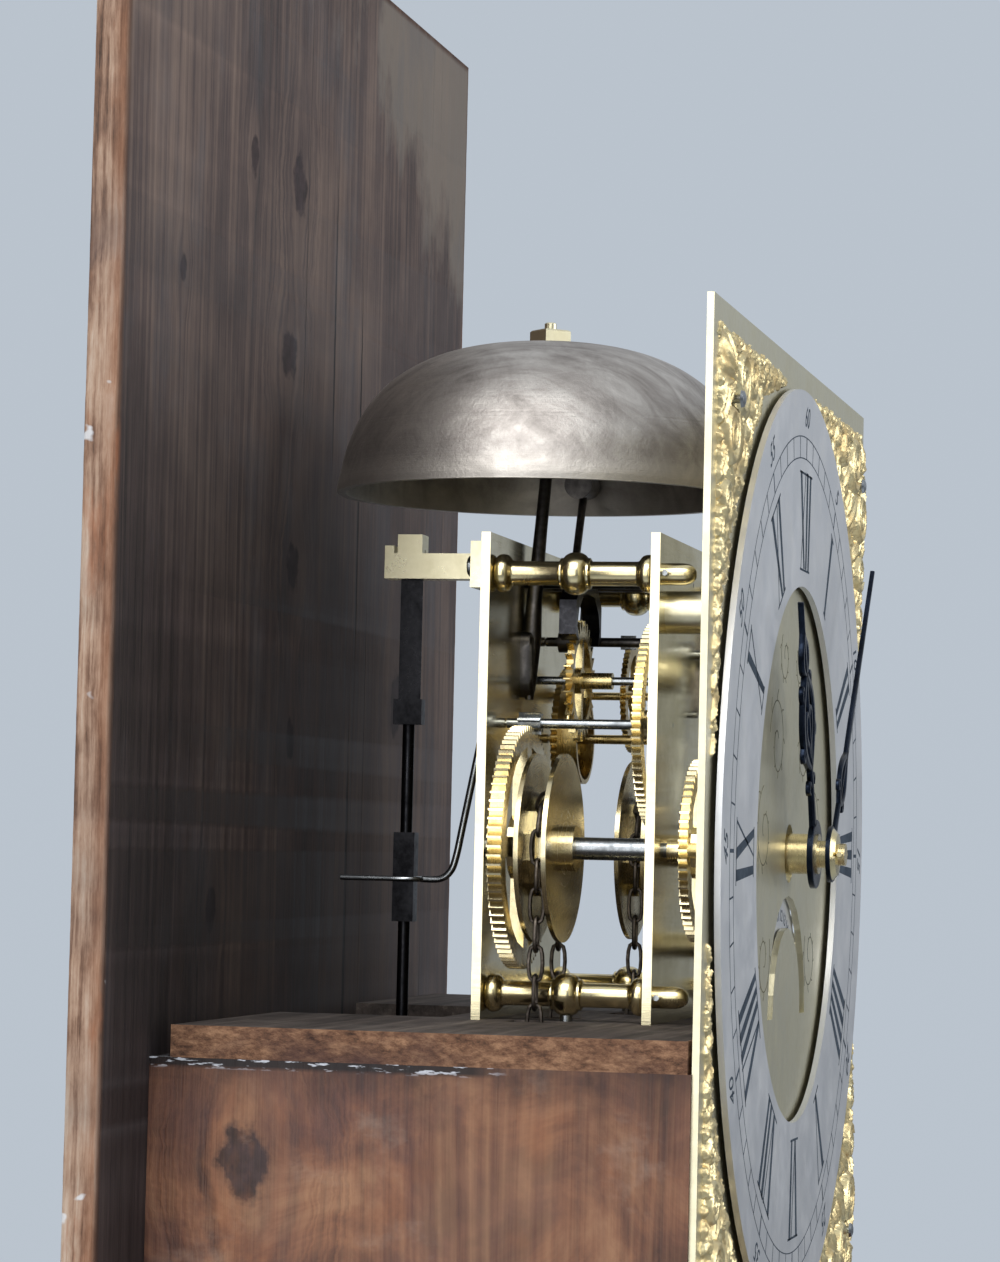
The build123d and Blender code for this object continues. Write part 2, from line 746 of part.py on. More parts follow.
def chain_wheel(x, y, back):
    """Two flanges with a twelve-sided seat between them and a click ring on the great wheel's side."""
    groove = math.pi / 2 + math.pi / links_round_wheel
    for rear, front, reach in (
        (y + 3.5, y + 1.3, 15.2),
        (y + 1.3, y - 1.3, 12.9),
        (y - 1.3, y - 3.5, 15.2),
    ):
        with BuildSketch(at(x, rear, great_z)) as seat:
            RegularPolygon(reach, links_round_wheel, rotation=math.degrees(groove))
        extrude(seat.sketch, amount=rear - front)
    disc(x, great_z, y + 4.9, y + 3.5, flange_radius)
    disc(x, great_z, y - 3.5, y - 4.9, flange_radius)
    disc(x, great_z, y + back * 5.8 + (0.9 if back < 0 else 0.0), y + back * 5.8 - (0.9 if back > 0 else 0.0), 24.0)
    disc(x, great_z, y - back * 8.5 + (3.6 if back > 0 else 0.0), y - back * 8.5 - (3.6 if back < 0 else 0.0), 7.0)
    disc(x, great_z, y + 12.0, y - 12.0, 3.4 + pivot_clearance, mode=Mode.SUBTRACT)


with BuildPart() as going_great_wheel:
    shape(-great_x, great_z, 78.2, 73.8, wheel_points(great_teeth, great_module, 0.0))
    disc(-great_x, great_z, 79.0, 73.0, 3.4, mode=Mode.SUBTRACT)
    crossings(-great_x, great_z, 79.0, 73.0, 4, 10.0, 30.5, 6.0)

with BuildPart() as going_great_arbor:
    disc(-great_x, great_z, back_plate_back - 0.2, 83.2, 1.6)
    disc(-great_x, great_z, 83.2, front_plate_back + 0.3, 3.4)
    disc(-great_x, great_z, front_plate_back + 0.3, 12.6, 2.2)

with BuildPart() as going_chain_wheel:
    chain_wheel(-great_x, going_chain_y, 1)

with BuildPart() as motion_drive_wheel:
    shape(-great_x, great_z, 22.7, 19.9, wheel_points(drive_teeth, drive_module, 0.0))
    shape(-great_x, great_z, 19.9, 12.6, pinion_points(hour_pinion, hour_module, 0.0))
    disc(-great_x, great_z, 30.4, 22.7, 3.6)
    disc(-great_x, great_z, 31.0, 12.0, 2.2, mode=Mode.SUBTRACT)
    crossings(-great_x, great_z, 23.7, 18.9, 4, 8.5, 21.5, 4.5)

with BuildPart() as second_wheel:
    shape(second_x, second_z, 38.6, 35.8, wheel_points(second_teeth, second_module, 0.0))
    disc(second_x, second_z, 40.6, 38.6, 4.6)
    disc(second_x, second_z, 41.0, 35.0, 1.5, mode=Mode.SUBTRACT)
    crossings(second_x, second_z, 39.6, 34.8, 4, 6.5, 25.2, 3.6)

with BuildPart() as second_arbor:
    pin(second_x, second_z, back_plate_back, 83.2, 0.7)
    disc(second_x, second_z, 83.2, front_plate_back + 0.3, 1.5)
    shape(second_x, second_z, 79.4, 72.4, pinion_points(second_pinion, great_module, second_phase))
    pin(second_x, second_z, front_plate_back + 0.3, front_plate_y, 0.7)

tooth_turn = 2 * math.pi / escape_teeth
escape_zero = math.pi / 2 + math.radians(pallet_angle) + tooth_turn * 0.3
escape_points = []
for n in range(escape_teeth):
    angle = escape_zero + n * tooth_turn
    for turn, reach in (
        (-0.56, escape_radius - 3.6),
        (-0.05, escape_radius),
        (0.05, escape_radius),
        (0.12, escape_radius - 3.2),
    ):
        spin = angle + turn * tooth_turn
        escape_points.append((reach * math.cos(spin), reach * math.sin(spin)))
with BuildPart() as escape_wheel:
    shape(0.0, escape_z, 68.4, 66.2, escape_points)
    disc(0.0, escape_z, 66.2, 56.6, 2.6)
    disc(0.0, escape_z, 69.0, 56.0, 1.3, mode=Mode.SUBTRACT)
    crossings(0.0, escape_z, 69.4, 66.2, 4, 4.2, 13.2, 2.2)

with BuildPart() as escape_arbor:
    pin(0.0, escape_z, back_plate_back, 83.2, 0.7)
    disc(0.0, escape_z, 83.2, front_plate_back + 0.3, 1.3)
    shape(0.0, escape_z, 39.6, 35.0, pinion_points(escape_pinion, second_module, escape_phase))
    pin(0.0, escape_z, front_plate_back + 0.3, front_plate_y, 0.7)

with BuildPart() as pallets:
    down = math.radians(pallet_angle)
    reach = escape_radius + pallet_clearance
    tip_x = reach * math.sin(down)
    tip_z = escape_z + reach * math.cos(down) - pallet_z
    out = (math.sin(down), math.cos(down))
    along = (math.cos(down), -math.sin(down))
    heel_x = tip_x + 4.5 * out[0]
    heel_z = tip_z + 4.5 * out[1]
    arm = [
        (0.0, 4.2),
        (10.0, 1.6),
        (19.4, -6.0),
        (heel_x + 1.7 * along[0], heel_z + 1.7 * along[1]),
        (tip_x + 0.4 * along[0], tip_z + 0.4 * along[1]),
        (tip_x - 0.4 * along[0], tip_z - 0.4 * along[1]),
        (heel_x - 1.7 * along[0], heel_z - 1.7 * along[1]),
        (15.0, -8.4),
        (8.0, -3.6),
        (0.0, -3.2),
    ]
    mirrored = [(-x, z) for x, z in arm[1:-1]]
    mirrored.reverse()
    shape(0.0, pallet_z, 70.0, 64.6, arm + mirrored)
    disc(0.0, pallet_z, 91.5, front_plate_back + 0.3, 1.3)
    pin(0.0, pallet_z, 95.0, 91.5, 0.7)
    pin(0.0, pallet_z, front_plate_back + 0.3, front_plate_y, 0.7)

with BuildPart() as crutch:
    disc(0.0, pallet_z, 91.0, 87.2, 3.0)
    disc(0.0, pallet_z, 92.0, 86.0, 1.3, mode=Mode.SUBTRACT)
    rod((0.0, 89.6, pallet_z - 2.0), (0.0, 107.3, -10.0), 1.1)
    block(-4.6, 4.6, 106.4, 108.4, -11.5, -9.7)
    block(-4.6, -3.0, 108.4, 142.0, -11.5, -9.7)
    block(3.0, 4.6, 108.4, 142.0, -11.5, -9.7)

with BuildPart() as cannon_wheel:
    shape(0.0, 0.0, 22.7, 19.9, wheel_points(cannon_teeth, drive_module, cannon_phase, 0.5, 1.4, 0.2))
    disc(0.0, 0.0, 30.8, 22.7, 5.0)
    disc(0.0, 0.0, 19.9, -12.4, 4.2)
    disc(0.0, 0.0, -12.4, -17.6, 3.4)
    disc(0.0, 0.0, 31.0, -10.0, 2.38 + pivot_clearance, mode=Mode.SUBTRACT)
    rod((-7.0, -16.5, 0.0), (7.0, -16.5, 0.0), 0.8 + loose, mode=Mode.SUBTRACT)
    pin(9.6, 0.0, 26.6, 22.7, 0.8)

with BuildPart() as hour_wheel:
    shape(0.0, 0.0, 18.8, 16.4, wheel_points(hour_teeth, hour_module, hour_phase))
    disc(0.0, 0.0, 16.4, -9.4, 6.2)
    disc(0.0, 0.0, 19.6, -10.0, 4.25, mode=Mode.SUBTRACT)
    crossings(0.0, 0.0, 19.4, 15.8, 4, 10.0, 28.6, 5.0)

time_minutes = 7.0
time_hours = 11.0 + time_minutes / 60
hour_turn = math.pi / 2 - 2 * math.pi * time_hours / 12
minute_turn = math.pi / 2 - 2 * math.pi * time_minutes / 60


def turned(points, angle):
    """A hand drawn pointing right, turned to its place on the dial."""
    c = math.cos(angle)
    s = math.sin(angle)
    return [(x * c - z * s, x * s + z * c) for x, z in points]


with BuildPart() as hour_hand:
    upper = [(8.0, 2.2), (30.0, 2.0), (33.0, 9.0), (45.0, 12.0), (55.0, 6.0), (62.0, 3.6), (84.0, 0.8)]
    lower = [(x, -z) for x, z in upper]
    lower.reverse()
    shape(0.0, 0.0, -7.0, -8.8, turned(upper + lower, hour_turn))
    disc(0.0, 0.0, -7.0, -8.8, 12.0)
    window = [(36.0, 1.4), (37.5, 6.6), (45.0, 8.6), (52.0, 4.4), (57.0, 1.4)]
    shape(0.0, 0.0, -6.0, -9.8, turned(window, hour_turn), mode=Mode.SUBTRACT)
    shape(0.0, 0.0, -6.0, -9.8, turned([(x, -z) for x, z in window], hour_turn), mode=Mode.SUBTRACT)
    disc(0.0, 0.0, -6.0, -9.8, 6.2, mode=Mode.SUBTRACT)

with BuildPart() as minute_hand:
    upper = [(7.0, 1.8), (22.0, 1.6), (25.0, 5.0), (34.0, 6.0), (42.0, 2.4), (126.0, 0.7)]
    lower = [(x, -z) for x, z in upper]
    lower.reverse()
    shape(0.0, 0.0, -12.4, -13.8, turned(upper + lower, minute_turn))
    disc(0.0, 0.0, -12.4, -13.8, 10.0)
    window = [(26.5, 1.0), (27.5, 3.4), (33.5, 4.2), (38.0, 1.0)]
    shape(0.0, 0.0, -11.4, -14.8, turned(window, minute_turn), mode=Mode.SUBTRACT)
    shape(0.0, 0.0, -11.4, -14.8, turned([(x, -z) for x, z in window], minute_turn), mode=Mode.SUBTRACT)
    disc(0.0, 0.0, -11.4, -14.8, 3.4 + loose, mode=Mode.SUBTRACT)

with BuildPart() as hand_collet:
    turned_piece(0.0, 0.0, [(-15.6, 3.8), (-15.2, 6.4), (-13.8, 8.0)])
    disc(0.0, 0.0, -13.0, -16.0, 3.4 + loose, mode=Mode.SUBTRACT)
    rod((-7.0, -16.5, 0.0), (7.0, -16.5, 0.0), 0.8)

# Strike train
strike_distance = math.hypot(hoop_x - great_x, hoop_z - great_z)
strike_module = module(strike_distance, strike_teeth, hoop_pinion)
hoop_distance = math.hypot(warning_x - hoop_x, warning_z - hoop_z)
hoop_module = module(hoop_distance, hoop_teeth, warning_pinion)
warning_distance = math.hypot(fly_x - warning_x, fly_z - warning_z)
warning_module = module(warning_distance, warning_teeth, fly_pinion)
count_distance = math.hypot(count_x - great_x, count_z - great_z)
count_module = module(count_distance, count_teeth, report_pinion)
hoop_phase = meshed((great_x, great_z), (hoop_x, hoop_z), strike_teeth, 0.0, hoop_pinion)
warning_phase = meshed((hoop_x, hoop_z), (warning_x, warning_z), hoop_teeth, 0.0, warning_pinion)
fly_phase = meshed((warning_x, warning_z), (fly_x, fly_z), warning_teeth, 0.0, fly_pinion)
count_phase = meshed((great_x, great_z), (count_x, count_z), report_pinion, 0.0, count_teeth)

with BuildPart() as strike_great_wheel:
    shape(great_x, great_z, 45.4, 41.0, wheel_points(strike_teeth, strike_module, 0.0))
    disc(great_x, great_z, 46.4, 40.0, 3.4, mode=Mode.SUBTRACT)
    crossings(great_x, great_z, 46.4, 40.0, 4, 10.0, 26.6, 6.0)
    for n in range(hammer_pins):
        angle = math.radians(103.0) + 2 * math.pi * n / hammer_pins
        pin(great_x + 30.0 * math.cos(angle), great_z + 30.0 * math.sin(angle), 41.0, 37.4, 1.0)

with BuildPart() as strike_great_arbor:
    disc(great_x, great_z, front_plate_back + 0.3, front_plate_y + 0.2, 1.6)
    disc(great_x, great_z, 83.2, front_plate_back + 0.3, 3.4)
    disc(great_x, great_z, 89.2, 83.2, 2.2)
    shape(great_x, great_z, 89.2, 86.6, pinion_points(report_pinion, count_module, 0.0))

with BuildPart() as strike_chain_wheel:
    chain_wheel(great_x, strike_chain_y, -1)

with BuildPart() as hoop_wheel:
    shape(hoop_x, hoop_z, 78.4, 76.4, wheel_points(hoop_teeth, hoop_module, 0.0))
    crossings(hoop_x, hoop_z, 79.4, 75.4, 4, 6.0, 11.4, 3.0)
    disc(hoop_x, hoop_z, 76.4, 71.6, 14.4, 13.0)
    disc(hoop_x, hoop_z, 83.2, front_plate_back + 0.3, 1.5)
    pin(hoop_x, hoop_z, back_plate_back, 83.2, 0.7)
    pin(hoop_x, hoop_z, front_plate_back + 0.3, front_plate_y, 0.7)
    shape(hoop_x, hoop_z, 46.6, 41.3, pinion_points(hoop_pinion, strike_module, hoop_phase))
    disc(hoop_x, hoop_z, 80.4, 78.4, 4.0)

with BuildPart() as warning_wheel:
    shape(warning_x, warning_z, 61.0, 59.2, wheel_points(warning_teeth, warning_module, 0.0))
    crossings(warning_x, warning_z, 62.0, 58.2, 4, 5.0, 13.6, 2.6)
    disc(warning_x, warning_z, 83.2, front_plate_back + 0.3, 1.3)
    pin(warning_x, warning_z, back_plate_back, 83.2, 0.7)
    pin(warning_x, warning_z, front_plate_back + 0.3, front_plate_y, 0.7)
    shape(warning_x, warning_z, 80.0, 75.0, pinion_points(warning_pinion, hoop_module, warning_phase))
    pin(warning_x + 11.0, warning_z + 11.0, 59.2, 55.6, 0.7)
    disc(warning_x, warning_z, 64.0, 61.0, 3.4)

with BuildPart() as fly:
    disc(fly_x, fly_z, 83.2, front_plate_back + 0.3, 1.2)
    pin(fly_x, fly_z, back_plate_back, 83.2, 0.7)
    pin(fly_x, fly_z, front_plate_back + 0.3, front_plate_y, 0.7)
    shape(fly_x, fly_z, 62.6, 57.6, pinion_points(fly_pinion, warning_module, fly_phase))
    shape(fly_x, fly_z, 56.0, 42.0, [(-11.0, -0.4), (11.0, -0.4), (11.0, 0.4), (-11.0, 0.4)])
    disc(fly_x, fly_z, 54.0, 44.0, 1.9)

with BuildPart() as count_wheel:
    shape(count_x, count_z, 89.0, 86.8, wheel_points(count_teeth, count_module, count_phase))
    disc(count_x, count_z, 92.6, 86.8, 5.0)
    starts = [0]
    for blows in range(1, 12):
        starts.append(starts[-1] + blows)
    count_points = []
    for step in range(78):
        angle = 2 * math.pi * step / 78
        if step in starts:
            for part, reach in ((-0.32, 27.0), (-0.24, 24.4), (0.24, 24.4), (0.32, 27.0)):
                spin = angle + part * 2 * math.pi / 78
                count_points.append((reach * math.cos(spin), reach * math.sin(spin)))
        elif step % 2 == 0 and step - 1 not in starts and step + 1 not in starts:
            count_points.append((27.0 * math.cos(angle), 27.0 * math.sin(angle)))
    shape(count_x, count_z, 91.6, 89.8, count_points)
    disc(count_x, count_z, 93.0, 86.0, 2.03, mode=Mode.SUBTRACT)

with BuildPart() as hammer:
    disc(hammer_x, hammer_z, 83.2, front_plate_back + 0.3, 1.5)
    pin(hammer_x, hammer_z, back_plate_back, 83.2, 0.8)
    pin(hammer_x, hammer_z, front_plate_back + 0.3, front_plate_y, 0.8)
    tail = [(-3.0, 0.0), (3.0, 0.0), (-0.5, -39.6), (-2.9, -38.2)]
    shape(hammer_x, hammer_z, 41.0, 37.8, tail)
    disc(hammer_x, hammer_z, 43.0, 37.8, 3.4)
    disc(hammer_x, hammer_z, 79.0, 75.0, 3.4)
    rod((hammer_x, 77.0, hammer_z), (50.5, 77.6, 117.0), 1.3)
    rod((44.6, 78.4, 118.6), (58.0, 78.4, 119.4), 4.6)

with BuildPart() as detent:
    disc(detent_x, detent_z, 92.2, 28.2, 1.4)
    count_tip_x = count_x - detent_x
    count_tip_z = count_z + 27.6 - detent_z
    hook = [
        (2.6, 1.5),
        (-2.6, 2.5),
        (count_tip_x - 1.0, count_tip_z + 14.0),
        (count_tip_x - 1.2, count_tip_z),
        (count_tip_x + 1.2, count_tip_z),
        (count_tip_x + 2.0, count_tip_z + 14.0),
    ]
    shape(detent_x, detent_z, 92.2, 90.0, hook)
    hoop_tip_x = hoop_x - detent_x
    hoop_tip_z = hoop_z + 15.0 - detent_z
    locking = [
        (2.6, 1.5),
        (-2.6, 2.5),
        (hoop_tip_x - 1.0, hoop_tip_z + 14.0),
        (hoop_tip_x - 1.2, hoop_tip_z),
        (hoop_tip_x + 1.2, hoop_tip_z),
        (hoop_tip_x + 2.0, hoop_tip_z + 14.0),
    ]
    shape(detent_x, detent_z, 74.4, 72.4, locking)
    tail = [
        (2.6, -1.5),
        (1.0, 2.6),
        (-12.0, -4.0),
        (-15.0, -22.0),
        (-20.6, -40.5),
        (-18.2, -41.0),
        (-12.0, -23.0),
        (-9.4, -6.6),
    ]
    shape(detent_x, detent_z, 30.8, 28.2, tail)

with BuildPart() as lifting_piece:
    lever = [
        (-3.6, 3.0),
        (3.6, 3.0),
        (3.6, -3.6),
        (0.8, -18.0),
        (-9.3, -55.2),
        (-11.0, -53.8),
        (-4.6, -18.0),
    ]
    shape(lifter_x, lifter_z, 27.2, 25.2, lever)
    disc(lifter_x, lifter_z, 27.8, 23.6, 4.4)
    disc(lifter_x - 2.0, lifter_z - 19.0, 30.8, 27.2, 1.1)
    disc(lifter_x, lifter_z, 31.0, 22.0, 1.53, mode=Mode.SUBTRACT)

# Pendulum
bob_z = suspension_z - pendulum_length
with BuildPart() as pendulum_rod:
    block(-0.12, 0.12, pendulum_y - 3.6, pendulum_y + 3.6, 44.0, 92.0)
    block(-2.4, 2.4, pendulum_y - 4.6, pendulum_y + 4.6, 38.0, 46.0)
    upright(0.0, pendulum_y, 38.0, bob_z - bob_radius - 34.0, rod_radius)
    block(-2.7, 2.7, pendulum_y - 3.4, pendulum_y + 3.4, -24.0, 4.0)

with BuildPart() as bob:
    with BuildSketch(Plane(origin=spot(0.0, pendulum_y, bob_z), x_dir=(1, 0, 0), z_dir=(0, 0, 1))):
        with BuildLine():
            Polyline(
                (0.0, -15.0),
                (24.0, -13.0),
                (bob_radius - 5.0, -6.0),
                (bob_radius, -1.2),
                (bob_radius, 1.2),
                (bob_radius - 5.0, 6.0),
                (24.0, 13.0),
                (0.0, 15.0),
                close=True,
            )
        make_face()
    revolve(axis=Axis(spot(0.0, pendulum_y, bob_z), (0, 1, 0)))
    upright(0.0, pendulum_y, bob_z + 60.0, bob_z - 60.0, rod_radius + 0.06, mode=Mode.SUBTRACT)

with BuildPart() as rating_nut:
    upright(0.0, pendulum_y, bob_z - bob_radius - 0.1, bob_z - bob_radius - 6.1, 8.0, rod_radius + 0.06)

# Chain, weights and rings
with BuildPart() as chain_links:
    for wheel_x, chain_y in ((-great_x, going_chain_y), (great_x, strike_chain_y)):
        for n in range(links_round_wheel // 2 + 1):
            angle = n * turn_per_link
            middle = spot(
                wheel_x + wrap_radius * math.cos(angle),
                chain_y,
                great_z + wrap_radius * math.sin(angle),
            )
            along = Vector(-math.sin(angle), 0, math.cos(angle))
            outward = Vector(math.cos(angle), 0, math.sin(angle))
            across = Vector(0, 1, 0) if n % 2 == 0 else outward
            link(middle, along, across)
        for side in (-1, 1):
            for n in range(1, links_down + 1):
                middle = spot(wheel_x + side * wrap_radius, chain_y, great_z - n * link_pitch)
                across = Vector(0, 1, 0) if n % 2 == 0 else Vector(1, 0, 0)
                link(middle, Vector(0, 0, 1), across)

strand_top = great_z - links_down * link_pitch - link_length / 2 - 0.02
strand_bottom = weight_hook_z - dial_z
chain_places = (
    ("going_chain_loaded", -great_x - wrap_radius, going_chain_y),
    ("going_chain_tail", -great_x + wrap_radius, going_chain_y),
    ("strike_chain_tail", great_x - wrap_radius, strike_chain_y),
    ("strike_chain_loaded", great_x + wrap_radius, strike_chain_y),
)


def strand(x, y):
    """The lower run of a chain, as one square bar."""
    block(x - 1.1, x + 1.1, y - 1.1, y + 1.1, strand_bottom, strand_top)


def weight(x, y):
    """A cast cylinder with an iron eye on top."""
    upright(x, y, strand_bottom - 24.0, strand_bottom - 24.0 - weight_height, weight_radius)
    block(x - 1.5, x + 1.5, y - 1.5, y + 1.5, strand_bottom - 25.0, strand_bottom - 0.02)
    block(x - 5.0, x + 5.0, y - 1.5, y + 1.5, strand_bottom - 16.0, strand_bottom - 6.0)


def ring_weight(x, y):
    """A small ring on the end of the free run of the chain."""
    disc(x, strand_bottom - 0.02 - ring_weight_radius, y + 3.5, y - 3.5, ring_weight_radius, 3.4)


with BuildPart() as going_chain_loaded:
    strand(-great_x - wrap_radius, going_chain_y)

with BuildPart() as going_chain_tail:
    strand(-great_x + wrap_radius, going_chain_y)

with BuildPart() as strike_chain_tail:
    strand(great_x - wrap_radius, strike_chain_y)

with BuildPart() as strike_chain_loaded:
    strand(great_x + wrap_radius, strike_chain_y)

with BuildPart() as going_weight:
    weight(-great_x - wrap_radius, going_chain_y)

with BuildPart() as strike_weight:
    weight(great_x + wrap_radius, strike_chain_y)

with BuildPart() as going_ring:
    ring_weight(-great_x + wrap_radius, going_chain_y)

with BuildPart() as strike_ring:
    ring_weight(great_x - wrap_radius, strike_chain_y)

pieces = {
    "backboard": backboard,
    "trunk_sides": trunk_sides,
    "trunk_frame": trunk_frame,
    "seatboard": seatboard,
    "throat_moulding": throat_moulding,
    "plinth_boards": plinth_boards,
    "plinth_mouldings": plinth_mouldings,
    "trunk_door": trunk_door,
    "fixed_hinge_leaves": fixed_hinge_leaves,
    "door_hinge_leaves": door_hinge_leaves,
    "door_catch": door_catch,
    "front_plate": front_plate,
    "back_plate": back_plate,
    "pillars": pillars,
    "taper_pins": taper_pins,
    "backcock": backcock,
    "studs_and_screws": studs_and_screws,
    "bell_stand": bell_stand,
    "bell": bell,
    "dial_plate": dial_plate,
    "chapter_ring": chapter_ring,
    "spandrels": spandrels,
    "date_disc": date_disc,
    "going_great_wheel": going_great_wheel,
    "going_great_arbor": going_great_arbor,
    "going_chain_wheel": going_chain_wheel,
    "motion_drive_wheel": motion_drive_wheel,
    "second_wheel": second_wheel,
    "second_arbor": second_arbor,
    "escape_wheel": escape_wheel,
    "escape_arbor": escape_arbor,
    "pallets": pallets,
    "crutch": crutch,
    "cannon_wheel": cannon_wheel,
    "hour_wheel": hour_wheel,
    "hour_hand": hour_hand,
    "minute_hand": minute_hand,
    "hand_collet": hand_collet,
    "strike_great_wheel": strike_great_wheel,
    "strike_great_arbor": strike_great_arbor,
    "strike_chain_wheel": strike_chain_wheel,
    "hoop_wheel": hoop_wheel,
    "warning_wheel": warning_wheel,
    "fly": fly,
    "count_wheel": count_wheel,
    "hammer": hammer,
    "detent": detent,
    "lifting_piece": lifting_piece,
    "pendulum_rod": pendulum_rod,
    "bob": bob,
    "rating_nut": rating_nut,
    "chain_links": chain_links,
    "going_chain_loaded": going_chain_loaded,
    "going_chain_tail": going_chain_tail,
    "strike_chain_loaded": strike_chain_loaded,
    "strike_chain_tail": strike_chain_tail,
    "going_weight": going_weight,
    "strike_weight": strike_weight,
    "going_ring": going_ring,
    "strike_ring": strike_ring,
}
for name, piece in pieces.items():
    piece.part.label = name
    export_step(piece.part, "parts/" + name + ".step")
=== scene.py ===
# %% [markdown]
# # A longcase clock without its hood
#
# The clock is a tall wooden case with a movement standing on its seat board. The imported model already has
# every working piece at its true place. This lesson lights it, photographs it from the left at dial height,
# and gives each piece the finish of the real one. Where a plain solid is not enough, a finer mesh takes its
# place.

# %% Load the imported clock
import json
import math

import bmesh
import bpy
import numpy as np
from mathutils import Matrix, Vector

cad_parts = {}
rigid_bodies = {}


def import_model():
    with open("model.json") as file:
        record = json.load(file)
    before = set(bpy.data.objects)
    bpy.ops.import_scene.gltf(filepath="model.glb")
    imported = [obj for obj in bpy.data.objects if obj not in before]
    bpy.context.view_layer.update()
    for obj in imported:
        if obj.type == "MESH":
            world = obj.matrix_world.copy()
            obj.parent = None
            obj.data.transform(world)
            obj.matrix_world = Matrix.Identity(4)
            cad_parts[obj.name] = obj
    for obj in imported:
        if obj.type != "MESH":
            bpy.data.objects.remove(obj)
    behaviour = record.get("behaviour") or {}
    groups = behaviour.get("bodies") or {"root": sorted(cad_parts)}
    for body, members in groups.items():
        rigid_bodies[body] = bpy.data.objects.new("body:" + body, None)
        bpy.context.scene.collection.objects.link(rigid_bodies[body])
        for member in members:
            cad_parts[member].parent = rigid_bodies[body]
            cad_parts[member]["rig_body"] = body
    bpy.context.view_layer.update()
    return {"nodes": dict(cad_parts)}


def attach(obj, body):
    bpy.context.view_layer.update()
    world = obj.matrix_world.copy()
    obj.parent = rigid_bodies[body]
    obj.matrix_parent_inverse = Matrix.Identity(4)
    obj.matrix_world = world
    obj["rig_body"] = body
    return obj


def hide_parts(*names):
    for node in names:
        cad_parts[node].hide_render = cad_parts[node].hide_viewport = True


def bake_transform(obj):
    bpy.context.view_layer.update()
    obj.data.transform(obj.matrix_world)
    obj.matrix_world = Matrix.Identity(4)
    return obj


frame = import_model()
nodes = frame["nodes"]

# %% [markdown]
# ## Places on the clock
#
# A clockmaker measures everything from the centre of the dial, so the sizes here are millimetres from that
# point: x to the right, y back into the movement and z up. One function turns them into metres in the
# model's frame.

# %% Measure from the dial centre
dial_centre = np.array([0.0, -56.5, 1612.0])


def place(points):
    """Millimetres from the dial centre to metres in the model: add the centre, divide by a thousand."""
    return (np.asarray(points, float) + dial_centre) / 1000.0


# %% [markdown]
# ## Camera
#
# The photograph looks almost straight along the dial from the left, a little from in front of it, with a
# long lens. The viewpoint was found by matching the corners of the dial, the plates and the backboard to
# the picture.

# %% Put the camera at the left, level with the dial
camera_yaw = math.radians(12.98)
camera_pitch = math.radians(3.31)
camera_roll = math.radians(1.31)
forward = Vector(
    (
        math.cos(camera_pitch) * math.cos(camera_yaw),
        math.cos(camera_pitch) * math.sin(camera_yaw),
        math.sin(camera_pitch),
    )
)
level_right = forward.cross(Vector((0, 0, 1))).normalized()
level_up = level_right.cross(forward)
right = math.cos(camera_roll) * level_right + math.sin(camera_roll) * level_up
upward = -math.sin(camera_roll) * level_right + math.cos(camera_roll) * level_up
camera = bpy.data.objects.new("camera", bpy.data.cameras.new("camera"))
bpy.context.scene.collection.objects.link(camera)
turn = Matrix((right, upward, -forward)).transposed().to_4x4()
camera.matrix_world = Matrix.Translation(Vector(place((-1210.1, -185.8, -3.9)))) @ turn
camera.data.sensor_width = 36
camera.data.lens = 112.7
camera.data.clip_start = 0.05
bpy.context.scene.camera = camera
bpy.context.scene.view_settings.view_transform = "Standard"
print("lens", camera.data.lens, "mm")

# %% [markdown]
# ## Colour and node helpers
#
# Colours are picked as sRGB hex values, as a paint chart gives them, and turned to the linear values that a
# shader needs. One small function adds any shader node, sets its options and links its sockets.

# %% Colour and node helpers


def linear(code, alpha=1.0):
    """sRGB hex to linear: c / 12.92 in the darks, otherwise ((c + 0.055) / 1.055) to the power 2.4."""
    parts = np.array([int(code[i : i + 2], 16) for i in (1, 3, 5)]) / 255.0
    light = np.where(parts <= 0.04045, parts / 12.92, ((parts + 0.055) / 1.055) ** 2.4)
    return (*light.tolist(), alpha)


def add(tree, kind, links=None, **options):
    """A node with its options set and its sockets filled, by a value or from another node's socket."""
    node = tree.nodes.new(kind)
    for name, value in options.items():
        setattr(node, name, value)
    for name, value in (links or {}).items():
        if isinstance(value, bpy.types.NodeSocket):
            tree.links.new(value, node.inputs[name])
        else:
            node.inputs[name].default_value = value
    return node


def ramp(tree, factor, stops):
    """A colour ramp through (position, hex) stops."""
    node = add(tree, "ShaderNodeValToRGB", {"Fac": factor})
    entries = node.color_ramp.elements
    while len(entries) < len(stops):
        entries.new(0.5)
    for entry, (position, code) in zip(entries, stops):
        entry.position = position
        entry.color = linear(code)
    return node.outputs["Color"]


def blank(name):
    """A new material with a principled shader, and object coordinates in metres."""
    material = bpy.data.materials.new(name)
    material.use_nodes = True
    tree = material.node_tree
    shader = tree.nodes["Principled BSDF"]
    spot = add(tree, "ShaderNodeTexCoord").outputs["Object"]
    return material, tree, shader, spot


def noise(tree, spot, scale, detail=4.0, roughness=0.55, distortion=0.0):
    """Cloudy noise from 0 to 1."""
    return add(
        tree,
        "ShaderNodeTexNoise",
        {
            "Vector": spot,
            "Scale": scale,
            "Detail": detail,
            "Roughness": roughness,
            "Distortion": distortion,
        },
    ).outputs["Fac"]


def streaks(tree, spot, scale, detail=4.0, roughness=0.55, distortion=0.0, turned=(0, 0, 0)):
    """Noise scaled by a different amount along each axis, for grain, brush marks and stains."""
    links = {"Vector": spot, "Scale": scale, "Rotation": turned}
    aimed = add(tree, "ShaderNodeMapping", links).outputs["Vector"]
    return noise(tree, aimed, 1.0, detail, roughness, distortion)


